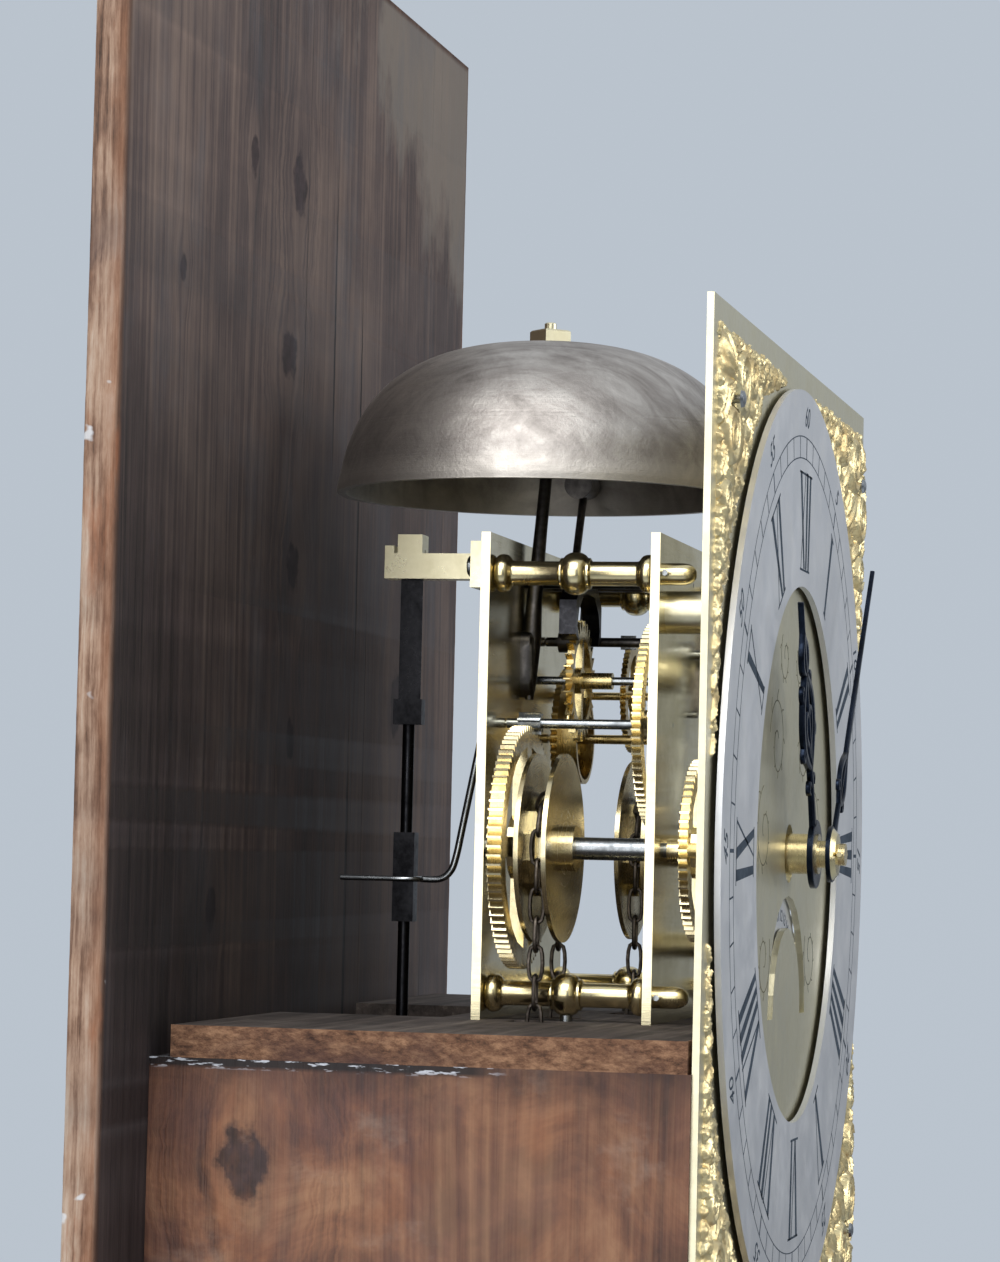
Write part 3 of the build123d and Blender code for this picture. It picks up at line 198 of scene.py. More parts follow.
def mixed(tree, factor, first, second, way="MIX"):
    """Blends two colours, or two sockets, by a factor."""
    node = add(tree, "ShaderNodeMix", {0: factor}, data_type="RGBA", blend_type=way)
    for index, value in ((6, first), (7, second)):
        if isinstance(value, bpy.types.NodeSocket):
            tree.links.new(value, node.inputs[index])
        else:
            node.inputs[index].default_value = linear(value)
    return node.outputs[2]


def between(tree, value, low, high, to_low=0.0, to_high=1.0):
    """Maps a range of values onto another, and holds it at the ends."""
    return add(
        tree,
        "ShaderNodeMapRange",
        {"Value": value, "From Min": low, "From Max": high, "To Min": to_low, "To Max": to_high},
    ).outputs["Result"]


def relief(tree, shader, height, distance, strength=1.0, under=None):
    """Bump from a height between 0 and 1, whose full depth is the distance in metres."""
    links = {"Height": height, "Distance": distance, "Strength": strength}
    if under is not None:
        links["Normal"] = under
    bump = add(tree, "ShaderNodeBump", links).outputs["Normal"]
    tree.links.new(bump, shader.inputs["Normal"])
    return bump


def axis_of(tree, spot):
    """The three coordinates as separate sockets."""
    split = add(tree, "ShaderNodeSeparateXYZ", {"Vector": spot})
    return split.outputs["X"], split.outputs["Y"], split.outputs["Z"]


def arithmetic(tree, way, first, second=0.0):
    """One sum on two values."""
    return add(tree, "ShaderNodeMath", {0: first, 1: second}, operation=way).outputs["Value"]


def weighed(tree, first, first_weight, second, second_weight):
    """The sum of two values, each times its weight."""
    one = arithmetic(tree, "MULTIPLY", first, first_weight)
    return arithmetic(tree, "ADD", one, arithmetic(tree, "MULTIPLY", second, second_weight))


# %% [markdown]
# ## Light
#
# The picture was taken in a plain studio: an even blue-grey backdrop, a large soft light high on the
# camera's side and a weaker one in front of the dial. Polished brass only looks like brass when it has
# something to mirror, so the soft lights are large and the room is darker below.

# %% Backdrop colour and room light
world = bpy.data.worlds.new("studio")
bpy.context.scene.world = world
world.use_nodes = True
air = world.node_tree
air.nodes.clear()
ray = add(air, "ShaderNodeLightPath")
look = add(air, "ShaderNodeTexCoord").outputs["Generated"]
_, _, rise = axis_of(air, look)
seen = ramp(air, between(air, rise, -0.25, 0.25), [(0.0, "#bbc4ce"), (1.0, "#bac3cd")])
seen_shader = add(air, "ShaderNodeBackground", {"Color": seen, "Strength": 1.0})
room = ramp(
    air,
    between(air, rise, -0.6, 0.9),
    [(0.0, "#3e3e41"), (0.34, "#7d8289"), (0.5, "#b4bbc4"), (1.0, "#e9eef5")],
)
room_shader = add(air, "ShaderNodeBackground", {"Color": room, "Strength": 0.62})
shown = arithmetic(air, "MAXIMUM", ray.outputs["Is Camera Ray"], ray.outputs["Is Transmission Ray"])
mirrored_room = add(air, "ShaderNodeBackground", {"Color": room, "Strength": 0.9})
plain = add(
    air,
    "ShaderNodeMixShader",
    {0: ray.outputs["Is Glossy Ray"], 1: room_shader.outputs[0], 2: mirrored_room.outputs[0]},
)
choose = add(air, "ShaderNodeMixShader", {0: shown, 1: plain.outputs[0], 2: seen_shader.outputs[0]})
add(air, "ShaderNodeOutputWorld", {"Surface": choose.outputs[0]})

# %% Soft lights


def soft_light(name, where, towards, wide, tall, watts, colour="#ffffff"):
    """A rectangular lamp at one point in the model's frame, turned to face another."""
    lamp = bpy.data.lights.new(name, "AREA")
    lamp.shape = "RECTANGLE"
    lamp.size = wide
    lamp.size_y = tall
    lamp.energy = watts
    lamp.color = linear(colour)[:3]
    holder = bpy.data.objects.new(name, lamp)
    bpy.context.scene.collection.objects.link(holder)
    aim = Vector(towards) - Vector(where)
    turned = aim.to_track_quat("-Z", "Y").to_matrix().to_4x4()
    holder.matrix_world = Matrix.Translation(Vector(where)) @ turned
    return holder


soft_light("soft_light_left_high", (-1.9, 0.1, 3.3), (0, 0, 1.6), 1.8, 1.4, 42)
soft_light("soft_light_by_the_camera", (-3.0, 0.7, 1.9), (0, 0, 1.6), 2.2, 2.0, 27)
soft_light("soft_light_front", (0.5, -2.4, 2.1), (0, 0, 1.6), 1.6, 1.6, 22)
soft_light("soft_light_behind", (1.5, 1.6, 2.9), (0, 0, 1.7), 1.2, 1.2, 16, "#eef3ff")
print("four soft lights")

# %% [markdown]
# ## Surfaces from numbers
#
# Every finer piece below is a sheet of points worked out all at once: rows run along the piece and columns
# run round it. A turned pillar, a bell, a link of chain and a clock hand differ only in the formula for
# those points.

# %% Mesh helpers


def sheet_faces(rows, columns, round_rows=False, round_columns=False, start=0):
    """Four-sided faces of a grid of points, which may close on itself in either direction."""
    r = np.arange(rows if round_rows else rows - 1)
    c = np.arange(columns if round_columns else columns - 1)
    r, c = np.meshgrid(r, c, indexing="ij")
    here, there = r * columns, ((r + 1) % rows) * columns
    after = (c + 1) % columns
    quads = np.stack((here + c, here + after, there + after, there + c), -1)
    return quads.reshape(-1, 4) + start


class Shell:
    """Points and faces gathered from several formulas, to become one piece."""

    def __init__(self):
        """Starts with no points and no faces."""
        self.points = []
        self.faces = []
        self.count = 0

    def put(self, points, faces):
        """Adds points in millimetres from the dial centre, and faces that index them."""
        points = np.asarray(points, float).reshape(-1, 3)
        self.points.append(points)
        self.faces += [tuple(int(i) + self.count for i in face) for face in faces]
        self.count += len(points)
        return self

    def grid(self, points, round_rows=False, round_columns=True, caps=True):
        """Adds a grid of points, with flat ends where the rows don't close."""
        rows, columns = points.shape[:2]
        faces = sheet_faces(rows, columns, round_rows, round_columns).tolist()
        if caps and not round_rows:
            faces.append(list(range(columns))[::-1])
            faces.append(list(range((rows - 1) * columns, rows * columns)))
        return self.put(points, faces)

    def piece(self, name, body, material, replaces=(), sharp=35.0):
        """Makes the mesh in metres at the origin, turns its faces outwards and rides it on a body."""
        mesh = bpy.data.meshes.new(name)
        mesh.from_pydata(place(np.concatenate(self.points)).tolist(), [], self.faces)
        work = bmesh.new()
        work.from_mesh(mesh)
        bmesh.ops.remove_doubles(work, verts=work.verts, dist=2e-7)
        bmesh.ops.recalc_face_normals(work, faces=work.faces)
        work.to_mesh(mesh)
        work.free()
        mesh.polygons.foreach_set("use_smooth", np.ones(len(mesh.polygons), bool))
        mesh.set_sharp_from_angle(angle=math.radians(sharp))
        mesh.materials.append(material)
        made = bpy.data.objects.new(name, mesh)
        bpy.context.scene.collection.objects.link(made)
        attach(made, body)
        if replaces:
            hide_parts(*replaces)
        return made


def smooth_line(corners, count, closed=False):
    """A curve through the corner points by cubic pieces whose slope at each is half the step across it."""
    corners = np.asarray(corners, float)
    if closed:
        before, here = np.roll(corners, 1, 0), corners
        after, beyond = np.roll(corners, -1, 0), np.roll(corners, -2, 0)
    else:
        held = np.concatenate((2 * corners[:1] - corners[1:2], corners, 2 * corners[-1:] - corners[-2:-1]))
        before, here, after, beyond = held[:-3], held[1:-2], held[2:-1], held[3:]
    share = np.linspace(0, len(here), count, endpoint=not closed)
    index = np.minimum(share.astype(int), len(here) - 1)
    t = (share - index)[:, None]
    a, b, c, d = before[index], here[index], after[index], beyond[index]
    return 0.5 * (2 * b + (c - a) * t + (2 * a - 5 * b + 4 * c - d) * t**2 + (3 * b - a - 3 * c + d) * t**3)


def turned_grid(profile, centre, along="y", steps=48):
    """A lathe: each (distance along, radius) pair becomes a circle about the axis through the centre."""
    profile = np.asarray(profile, float)
    angle = np.linspace(0, 2 * np.pi, steps, endpoint=False)
    distance, radius = profile[:, :1] + 0 * angle, profile[:, 1:2]
    one, two = radius * np.cos(angle), radius * np.sin(angle)
    order = {"y": (one, distance, two), "z": (one, two, distance), "x": (distance, one, two)}[along]
    return np.stack(order, -1) + np.asarray(centre, float)


def swept_grid(path, section, flat=(0.0, 1.0, 0.0), closed=False):
    """Carries an outline along a path: its first number is across the path, its second along the flat."""
    path, section = np.asarray(path, float), np.asarray(section, float)
    ahead = np.roll(path, -1, 0) - np.roll(path, 1, 0) if closed else np.gradient(path, axis=0)
    ahead /= np.linalg.norm(ahead, axis=1, keepdims=True)
    across = np.cross(ahead, np.asarray(flat, float))
    across /= np.linalg.norm(across, axis=1, keepdims=True)
    second = np.cross(across, ahead)
    if section.ndim == 2:
        section = np.repeat(section[None], len(path), 0)
    return path[:, None] + section[:, :, :1] * across[:, None] + section[:, :, 1:] * second[:, None]


def circle(radius, steps=12):
    """Points round a circle."""
    angle = np.linspace(0, 2 * np.pi, steps, endpoint=False)
    return np.stack((radius * np.cos(angle), radius * np.sin(angle)), -1)


print("surface helpers ready")

# %% [markdown]
# ## Old wood
#
# The backboard is a wide softwood plank, never planed smooth or polished where the hood hid it, and
# darkened by two centuries of smoke and handling. Its growth lines run up the board 3 to 8 mm apart and
# swing round the knots. One material function draws growth lines as bands of noise stretched along the
# grain, bends them near each knot, and adds stains, cracks and specks.

# %% A function for old boards


def knot_field(tree, across, along, knots):
    """1 inside the nearest knot and 0 outside it, and how far the grain bends round it."""
    near, push = None, None
    ragged = between(
        tree,
        noise(tree, tree.nodes["Texture Coordinate"].outputs["Object"], 120.0, 4.0),
        0.3,
        0.7,
        -0.35,
        0.35,
    )
    for centre_across, centre_along, wide, tall in knots:
        dx = arithmetic(tree, "SUBTRACT", across, centre_across)
        dz = arithmetic(tree, "SUBTRACT", along, centre_along)
        square_x = arithmetic(tree, "POWER", arithmetic(tree, "DIVIDE", dx, wide), 2.0)
        square_z = arithmetic(tree, "POWER", arithmetic(tree, "DIVIDE", dz, tall), 2.0)
        away = arithmetic(tree, "SQRT", arithmetic(tree, "ADD", square_x, square_z), 0.0)
        away = arithmetic(tree, "ADD", away, ragged)
        inside = between(tree, away, 1.15, 0.85)
        closeness = between(tree, away, 4.0, 0.9)
        side = arithmetic(tree, "MULTIPLY", dx, closeness)
        near = inside if near is None else arithmetic(tree, "MAXIMUM", near, inside)
        push = side if push is None else arithmetic(tree, "ADD", push, side)
    return near, push


def old_board(name, colours, across_axis, knots, line_width=0.005, gloss=0.62, stain=0.55):
    """Weathered softwood in a dark, a middle and a light hex, its growth lines along z, with its knots."""
    material, tree, shader, spot = blank(name)
    x, y, z = axis_of(tree, spot)
    across = {"x": x, "y": y}[across_axis]
    near, push = knot_field(tree, across, z, knots)
    bent = arithmetic(tree, "SUBTRACT", across, arithmetic(tree, "MULTIPLY", push, 0.72))
    sway = streaks(tree, spot, (7, 7, 1.6), 3.0)
    bent = arithmetic(tree, "ADD", bent, arithmetic(tree, "MULTIPLY", sway, 0.03))
    lined = add(
        tree, "ShaderNodeCombineXYZ", {"X": bent, "Y": 0.0, "Z": arithmetic(tree, "MULTIPLY", z, 0.012)}
    )
    lines = noise(tree, lined.outputs["Vector"], 1.0 / line_width, 2.0, 0.7)
    fibre = streaks(tree, spot, (1400, 1400, 26), 3.0, 0.7)
    cloud = streaks(tree, spot, (9, 9, 3.2), 6.0, 0.62)
    blotch = noise(tree, spot, 38.0, 5.0, 0.6)
    tone = weighed(tree, lines, 0.5, cloud, 0.62)
    tone = arithmetic(tree, "ADD", tone, arithmetic(tree, "MULTIPLY", blotch, 0.18))
    dark, middle, light = colours
    colour = ramp(tree, tone, [(0.5, dark), (0.63, middle), (0.8, light)])
    colour = mixed(tree, between(tree, fibre, 0.35, 0.75, 0.0, 0.35), colour, light)
    grime = between(tree, streaks(tree, spot, (5, 5, 2), 7.0, 0.6), 0.5, 0.75, 0.0, stain)
    colour = mixed(tree, grime, colour, dark)
    heart = ramp(tree, noise(tree, spot, 240.0), [(0.3, "#1a1315"), (0.7, "#3d2f33")])
    colour = mixed(tree, arithmetic(tree, "MULTIPLY", near, 0.82), colour, heart)
    crack_line = streaks(tree, spot, (170, 170, 2.2), 2.0, 0.4)
    crack = arithmetic(
        tree, "MULTIPLY", between(tree, crack_line, 0.7, 0.73), between(tree, cloud, 0.45, 0.55)
    )
    colour = mixed(tree, crack, colour, "#0f0c0d")
    height = weighed(tree, lines, 0.55, fibre, 0.3)
    height = arithmetic(tree, "SUBTRACT", height, arithmetic(tree, "MULTIPLY", crack, 0.8))
    relief(tree, shader, height, 0.0006, 0.7)
    shader.inputs["Specular IOR Level"].default_value = 0.35
    tree.links.new(between(tree, lines, 0.3, 0.7, gloss - 0.1, gloss + 0.12), shader.inputs["Roughness"])
    return material, tree, shader, spot, colour


# %% Backboard: dark face, painted shade low down, lighter sawn edge, pale worn top corner
board_knots = [
    (-0.0754, 1.8187, 0.004, 0.006),
    (-0.0317, 1.7636, 0.008, 0.0075),
    (-0.0221, 1.6971, 0.007, 0.007),
    (-0.1434, 1.7734, 0.003, 0.0045),
    (-0.0255, 1.8181, 0.007, 0.010),
    (-0.1006, 1.5914, 0.0045, 0.0055),
    (-0.0205, 1.6439, 0.0045, 0.006),
    (0.09, 1.30, 0.010, 0.014),
    (-0.06, 1.05, 0.009, 0.013),
    (0.03, 0.62, 0.011, 0.016),
    (0.11, 1.66, 0.007, 0.012),
]
backboard_pine, tree, shader, spot, colour = old_board(
    "smoke_darkened_pine_board", ("#191315", "#504240", "#8a776c"), "x", board_knots, 0.0042, 0.7, 0.5
)
x, y, z = axis_of(tree, spot)
patchy = streaks(tree, spot, (22, 22, 12), 7.0, 0.65)
corner = arithmetic(
    tree, "ADD", between(tree, x, 0.0, 0.17, 0.0, 0.46), between(tree, z, 1.76, 1.88, 0.0, 0.66)
)
worn = between(
    tree, arithmetic(tree, "ADD", corner, arithmetic(tree, "MULTIPLY", patchy, 0.9)), 1.18, 1.32, 0.0, 0.7
)
colour = mixed(tree, worn, colour, "#8f8478")
# Painted shade: the face is made darker towards the bottom, where less light falls.
painted_shade_low = between(tree, z, 1.86, 1.55, 0.0, 0.55)
colour = mixed(tree, painted_shade_low, colour, "#1f1a1d")
faded = arithmetic(
    tree, "MULTIPLY", between(tree, patchy, 0.52, 0.72, 0.0, 0.4), between(tree, z, 1.5, 1.7)
)
colour = mixed(tree, faded, colour, "#5c6067")
sawn_lines = streaks(tree, spot, (200, 520, 14), 5.0, 0.7)
sawn_cloud = streaks(tree, spot, (40, 90, 24), 7.0, 0.68)
sawn = weighed(tree, sawn_lines, 0.5, sawn_cloud, 0.6)
sawn_colour = ramp(tree, sawn, [(0.44, "#33261f"), (0.52, "#7c5d4a"), (0.6, "#a98b75"), (0.7, "#c2ae9c")])
near_face = between(tree, y, 0.1035, 0.1005, 0.0, 0.45)
sawn_colour = mixed(tree, near_face, sawn_colour, "#8f5f41")
arris = between(tree, y, 0.0998, 0.0988, 0.0, 0.7)
sawn_colour = mixed(tree, arris, sawn_colour, "#33241e")
rusty = between(tree, streaks(tree, spot, (40, 120, 22), 5.0, 0.6), 0.56, 0.66, 0.0, 0.6)
sawn_colour = mixed(tree, rusty, sawn_colour, "#9c6546")
edge = between(tree, arithmetic(tree, "ABSOLUTE", x), 0.1935, 0.1962)
top_edge = between(tree, z, 1.8975, 1.8992)
colour = mixed(tree, arithmetic(tree, "MAXIMUM", edge, top_edge), colour, sawn_colour)
flecks = between(tree, streaks(tree, spot, (60, 60, 90), 3.0, 0.5), 0.69, 0.72, 0.0, 0.8)
colour = mixed(tree, arithmetic(tree, "MULTIPLY", flecks, edge), colour, "#d9dbdd")
tree.links.new(colour, shader.inputs["Base Color"])

# %% Trunk side: raw orange-brown above the moulding, stained and waxed below it
side_knots = [
    (0.070, 1.5236, 0.008, 0.0105),
    (0.03, 1.20, 0.007, 0.012),
    (-0.02, 0.86, 0.006, 0.010),
]
side_pine, tree, shader, spot, colour = old_board(
    "stained_pine_trunk_side", ("#2a1815", "#7f5540", "#bf9370"), "y", side_knots, 0.0032, 0.46, 0.62
)
x, y, z = axis_of(tree, spot)
patchy_edge = streaks(tree, spot, (60, 60, 40), 6.0, 0.65)
violet = between(tree, streaks(tree, spot, (30, 30, 22), 5.0, 0.6), 0.45, 0.7, 0.0, 0.6)
colour = mixed(tree, violet, colour, "#5d4548")
chalky = between(tree, streaks(tree, spot, (22, 22, 40), 7.0, 0.65), 0.56, 0.7, 0.0, 0.5)
colour = mixed(tree, chalky, colour, "#b3a292")
glow = between(tree, streaks(tree, spot, (20, 34, 24), 5.0, 0.6), 0.55, 0.75, 0.0, 0.55)
colour = mixed(tree, glow, colour, "#a8683c")
swirl = streaks(tree, spot, (20, 22, 26), 8.0, 0.66, 0.7)
varnish = ramp(tree, swirl, [(0.38, "#2f1a16"), (0.47, "#5f3b2f"), (0.55, "#8a5c42"), (0.66, "#ad8160")])
near, _ = knot_field(tree, y, z, side_knots)
share = arithmetic(tree, "MULTIPLY", arithmetic(tree, "SUBTRACT", 1.0, near), 0.45)
colour = mixed(tree, share, colour, varnish)
# Darker towards the top edge, in patches.
darker_towards_top_edge = arithmetic(
    tree, "ADD", between(tree, z, 1.538, 1.551, 0.0, 0.5), between(tree, patchy_edge, 0.5, 0.7, 0.0, 0.55)
)
darker_towards_top_edge = arithmetic(tree, "MULTIPLY", darker_towards_top_edge, between(tree, z, 1.525, 1.55))
colour = mixed(tree, darker_towards_top_edge, colour, "#2c1a17")
# Dark glue line along the joint, and in it a painted glint: pale blue-white streaks stand for light caught
# on the glue.
glue_joint_and_painted_glint = arithmetic(tree, "MULTIPLY", between(tree, z, 1.5482, 1.5494), between(tree, y, -0.004, 0.006))
glint = between(tree, streaks(tree, spot, (200, 160, 900), 3.0, 0.6), 0.55, 0.62)
glue_dark_with_painted_glint = ramp(tree, glint, [(0.2, "#120e10"), (0.9, "#c9ccd4")])
colour = mixed(tree, arithmetic(tree, "MULTIPLY", glue_joint_and_painted_glint, 0.9), colour, glue_dark_with_painted_glint)
waxed = between(tree, z, 1.4405, 1.4395)
colour = mixed(tree, arithmetic(tree, "MULTIPLY", waxed, 0.75), colour, "#4a2b1a")
tree.links.new(colour, shader.inputs["Base Color"])
print("two kinds of old pine")

# %% Waxed case wood


def waxed_board(name, rails=False):
    """Stained and waxed case wood: brown, closed grain, low sheen. Rails have their grain across."""
    material, tree, shader, spot = blank(name)
    scale = (3.0, 3.0, 260.0) if rails else (260.0, 260.0, 3.0)
    slow = (2.0, 2.0, 40.0) if rails else (40.0, 40.0, 2.0)
    fibre = streaks(tree, spot, scale, 4.0, 0.65)
    figure = streaks(tree, spot, slow, 6.0, 0.6, 0.6)
    tone = weighed(tree, fibre, 0.4, figure, 0.6)
    colour = ramp(tree, tone, [(0.34, "#2a160d"), (0.52, "#54301c"), (0.7, "#7d4f2f")])
    worn = between(tree, noise(tree, spot, 14.0, 6.0, 0.6), 0.58, 0.75, 0.0, 0.4)
    colour = mixed(tree, worn, colour, "#8a6242")
    tree.links.new(colour, shader.inputs["Base Color"])
    tree.links.new(between(tree, figure, 0.3, 0.7, 0.28, 0.46), shader.inputs["Roughness"])
    relief(tree, shader, fibre, 0.0003, 0.5)
    shader.inputs["Coat Weight"].default_value = 0.25
    shader.inputs["Coat Roughness"].default_value = 0.28
    return material


stile_wood = waxed_board("waxed_oak_stiles")
rail_wood = waxed_board("waxed_oak_mouldings", rails=True)

# %% Seat board: dusty top, rough crumbling end grain under a dark glue line
seat_elm, tree, shader, spot = blank("rough_elm_seat_board")
x, y, z = axis_of(tree, spot)
top_grain = streaks(tree, spot, (8, 160, 160), 6.0, 0.7)
top_colour = ramp(tree, top_grain, [(0.3, "#2a2523"), (0.55, "#544b46"), (0.75, "#857a70")])
dusty = between(tree, noise(tree, spot, 60.0, 6.0, 0.65), 0.5, 0.72, 0.0, 0.45)
top_colour = mixed(tree, dusty, top_colour, "#7d756e")
end_grain = streaks(tree, spot, (100, 210, 420), 7.0, 0.75, turned=(0.5, 0, 0))
end_colour = ramp(tree, end_grain, [(0.3, "#2b1c16"), (0.48, "#7b5842"), (0.66, "#ab8364")])
end_stain = between(tree, streaks(tree, spot, (30, 30, 60), 5.0), 0.5, 0.66, 0.0, 0.8)
end_colour = mixed(tree, end_stain, end_colour, "#4a3330")
sides = between(tree, arithmetic(tree, "ABSOLUTE", x), 0.1528, 0.1537)
front_side = between(tree, y, -0.0525, -0.0533)
colour = mixed(tree, arithmetic(tree, "MAXIMUM", sides, front_side), top_colour, end_colour)
tree.links.new(colour, shader.inputs["Base Color"])
shader.inputs["Roughness"].default_value = 0.74
shader.inputs["Specular IOR Level"].default_value = 0.3
rough = mixed(tree, sides, top_grain, end_grain)
relief(tree, shader, rough, 0.0012, 0.8)
print("case woods ready")

# %% [markdown]
# ## Brass and silvering
#
# Clock brass is yellow but pale once polished; its mirror shows the bright studio on the near edges and the
# dark room on the plate faces. Fine parallel scratches from the polishing stick, and a thin uneven tarnish,
# keep it from looking like chrome. Turned wheels carry circular tool marks instead, so their marks follow
# the distance from the arbor.

# %% Brass finishes


def brass(
    name, colour, tarnish, roughness, marks=(900, 40, 40), depth=0.00004, centre=None, tarnish_share=0.45
):
    """Polished brass with tool marks along one direction, or in circles about a centre in the x-z plane."""
    material, tree, shader, spot = blank(name)
    if centre is None:
        scratch = streaks(tree, spot, marks, 3.0, 0.7)
    else:
        x, y, z = axis_of(tree, spot)
        dx = arithmetic(tree, "SUBTRACT", x, place(centre)[0])
        dz = arithmetic(tree, "SUBTRACT", z, place(centre)[2])
        squares = arithmetic(
            tree, "ADD", arithmetic(tree, "MULTIPLY", dx, dx), arithmetic(tree, "MULTIPLY", dz, dz)
        )
        radius = arithmetic(tree, "SQRT", squares)
        rings = add(tree, "ShaderNodeCombineXYZ", {"X": radius, "Y": y, "Z": 0.0}).outputs["Vector"]
        scratch = noise(tree, rings, 2600.0, 2.0, 0.7)
    cloud = noise(tree, spot, 70.0, 6.0, 0.62)
    fine = noise(tree, spot, 420.0, 4.0, 0.6)
    film = weighed(tree, cloud, 0.7, fine, 0.3)
    share = between(tree, film, 0.42, 0.68, 0.0, tarnish_share)
    tree.links.new(mixed(tree, share, colour, tarnish), shader.inputs["Base Color"])
    shader.inputs["Metallic"].default_value = 1.0
    polish = between(tree, film, 0.4, 0.7, roughness, roughness + 0.14 * tarnish_share / 0.45)
    polish = arithmetic(tree, "ADD", polish, between(tree, scratch, 0.45, 0.8, 0.0, 0.1))
    tree.links.new(polish, shader.inputs["Roughness"])
    relief(tree, shader, scratch, depth, 0.35)
    return material


plate_brass = brass("polished_plate_brass", "#eee3bd", "#a39468", 0.15, (60, 60, 1500), tarnish_share=0.3)
pillar_brass = brass(
    "turned_pillar_brass", "#e3d5a8", "#98804f", 0.15, (500, 2600, 500), tarnish_share=0.35
)
cock_brass = brass("filed_cock_brass", "#f0e7c4", "#bfb07c", 0.26, (40, 900, 900), tarnish_share=0.3)
dial_brass = brass(
    "scraped_dial_brass", "#ddd6b8", "#aaa281", 0.3, (900, 200, 60), 0.00006, tarnish_share=0.3
)
wheel_finish = {
    "going": brass("turned_great_wheel_brass_left", "#e8dab0", "#8b7048", 0.17, centre=(-40, 0, 0)),
    "middle": brass("turned_wheel_brass_middle", "#e3d3a4", "#8e744a", 0.2, centre=(0, 0, 0)),
    "second": brass("turned_wheel_brass_second", "#e8dab0", "#9a8150", 0.18, centre=(-30.3, 0, 37.9)),
    "escape": brass("turned_wheel_brass_escape", "#e4d199", "#94733f", 0.2, centre=(0, 0, 52.5)),
    "strike": brass("turned_great_wheel_brass_right", "#e3d4a8", "#84683f", 0.2, centre=(40, 0, 0)),
    "hoop": brass("turned_wheel_brass_hoop", "#d8c185", "#7b5a32", 0.22, centre=(32.5, 0, 35.3)),
    "warning": brass("turned_wheel_brass_warning", "#d8c185", "#7b5a32", 0.22, centre=(52, 0, 50)),
    "count": brass("turned_wheel_brass_count", "#d8c185", "#7b5a32", 0.22, centre=(33, 0, 24.2)),
}
fitting_brass = brass("handled_fitting_brass", "#b8985a", "#5d4426", 0.32, (200, 200, 700))
bob_brass = brass("spun_bob_brass", "#d6bb78", "#8a6a3a", 0.22, centre=(0, 0, -918))
gilt = brass("gilt_cast_brass", "#f0e0ae", "#c39c58", 0.3, (900, 900, 900), 0.00025, tarnish_share=0.6)
silver = brass("silvered_ring_finish", "#dcdddf", "#d2d0ca", 0.4, (60, 60, 60), 0.00001, tarnish_share=0.3)
print(len(wheel_finish), "turned wheel finishes")

# %% Steel, iron, lead and bell metal


def dull_metal(name, dark, light, roughness, spread=0.2, grain=300.0, depth=0.00012, metallic=1.0):
    """Steel or cast metal whose colour, gloss and pitting vary together with one cloud of noise."""
    material, tree, shader, spot = blank(name)
    cloud = noise(tree, spot, grain / 4, 6.0, 0.62)
    fine = noise(tree, spot, grain * 2.2, 4.0, 0.6)
    tone = weighed(tree, cloud, 0.65, fine, 0.35)
    tree.links.new(ramp(tree, tone, [(0.36, dark), (0.64, light)]), shader.inputs["Base Color"])
    shader.inputs["Metallic"].default_value = metallic
    tree.links.new(
        between(tree, tone, 0.35, 0.65, roughness + spread, roughness), shader.inputs["Roughness"]
    )
    relief(tree, shader, tone, depth, 0.5)
    return material


bright_steel = dull_metal("polished_arbor_steel", "#6f7274", "#b9bec1", 0.16, 0.2, 240.0, 0.00004)
stand_steel = dull_metal("forged_stand_steel", "#3c3a3a", "#6e6a67", 0.26, 0.22, 260.0, 0.0001)
dark_steel = dull_metal("hardened_dark_steel", "#1a1a1c", "#3a3a3d", 0.22, 0.2, 260.0, 0.00006)
blued_steel = dull_metal("blued_hand_steel", "#10141c", "#262e3c", 0.24, 0.16, 300.0, 0.00005)
chain_iron = dull_metal("oiled_chain_iron", "#2b2623", "#6d655d", 0.34, 0.2, 700.0, 0.00012)
cast_lead = dull_metal("oxidised_cast_lead", "#4c4d50", "#85868a", 0.55, 0.2, 120.0, 0.0004)

bell_metal, tree, shader, spot = blank("cast_bell_metal")
x, y, z = axis_of(tree, spot)
dy = arithmetic(tree, "SUBTRACT", y, place((0, 79, 0))[1])
reach = arithmetic(
    tree,
    "SQRT",
    arithmetic(tree, "ADD", arithmetic(tree, "MULTIPLY", x, x), arithmetic(tree, "MULTIPLY", dy, dy)),
)
turning = add(
    tree, "ShaderNodeCombineXYZ", {"X": reach, "Y": z, "Z": 0.0}
)
lathe_lines = noise(tree, turning.outputs["Vector"], 900.0, 3.0, 0.7)
casting = noise(tree, spot, 900.0, 5.0, 0.7)
stains = streaks(tree, spot, (40, 40, 26), 7.0, 0.68, 0.9)
wisps = streaks(tree, spot, (120, 30, 60), 5.0, 0.6, 1.6, turned=(0.3, 0.2, 0.4))
patina = weighed(tree, stains, 0.55, wisps, 0.45)
colour = ramp(tree, patina, [(0.34, "#7d7772"), (0.5, "#a7a19b"), (0.66, "#cac5be")])
# Painted highlight: the colour is lightened towards the lip, standing in for the bright rim.
lip = between(tree, z, place((0, 0, 119))[2], place((0, 0, 110.5))[2], 0.0, 0.5)
colour = mixed(tree, lip, colour, "#d2ccc2")
tree.links.new(colour, shader.inputs["Base Color"])
shader.inputs["Metallic"].default_value = 1.0
tree.links.new(between(tree, patina, 0.35, 0.65, 0.56, 0.42), shader.inputs["Roughness"])
bumpy = weighed(tree, casting, 0.6, lathe_lines, 0.4)
relief(tree, shader, bumpy, 0.00035, 0.55)
print("metals ready")

# %% [markdown]
# ## Finish the pieces that already have their true shape
#
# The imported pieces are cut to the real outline, so most of them need only their finish. The table below
# names the finish of each, and any imported colour is cleared first.

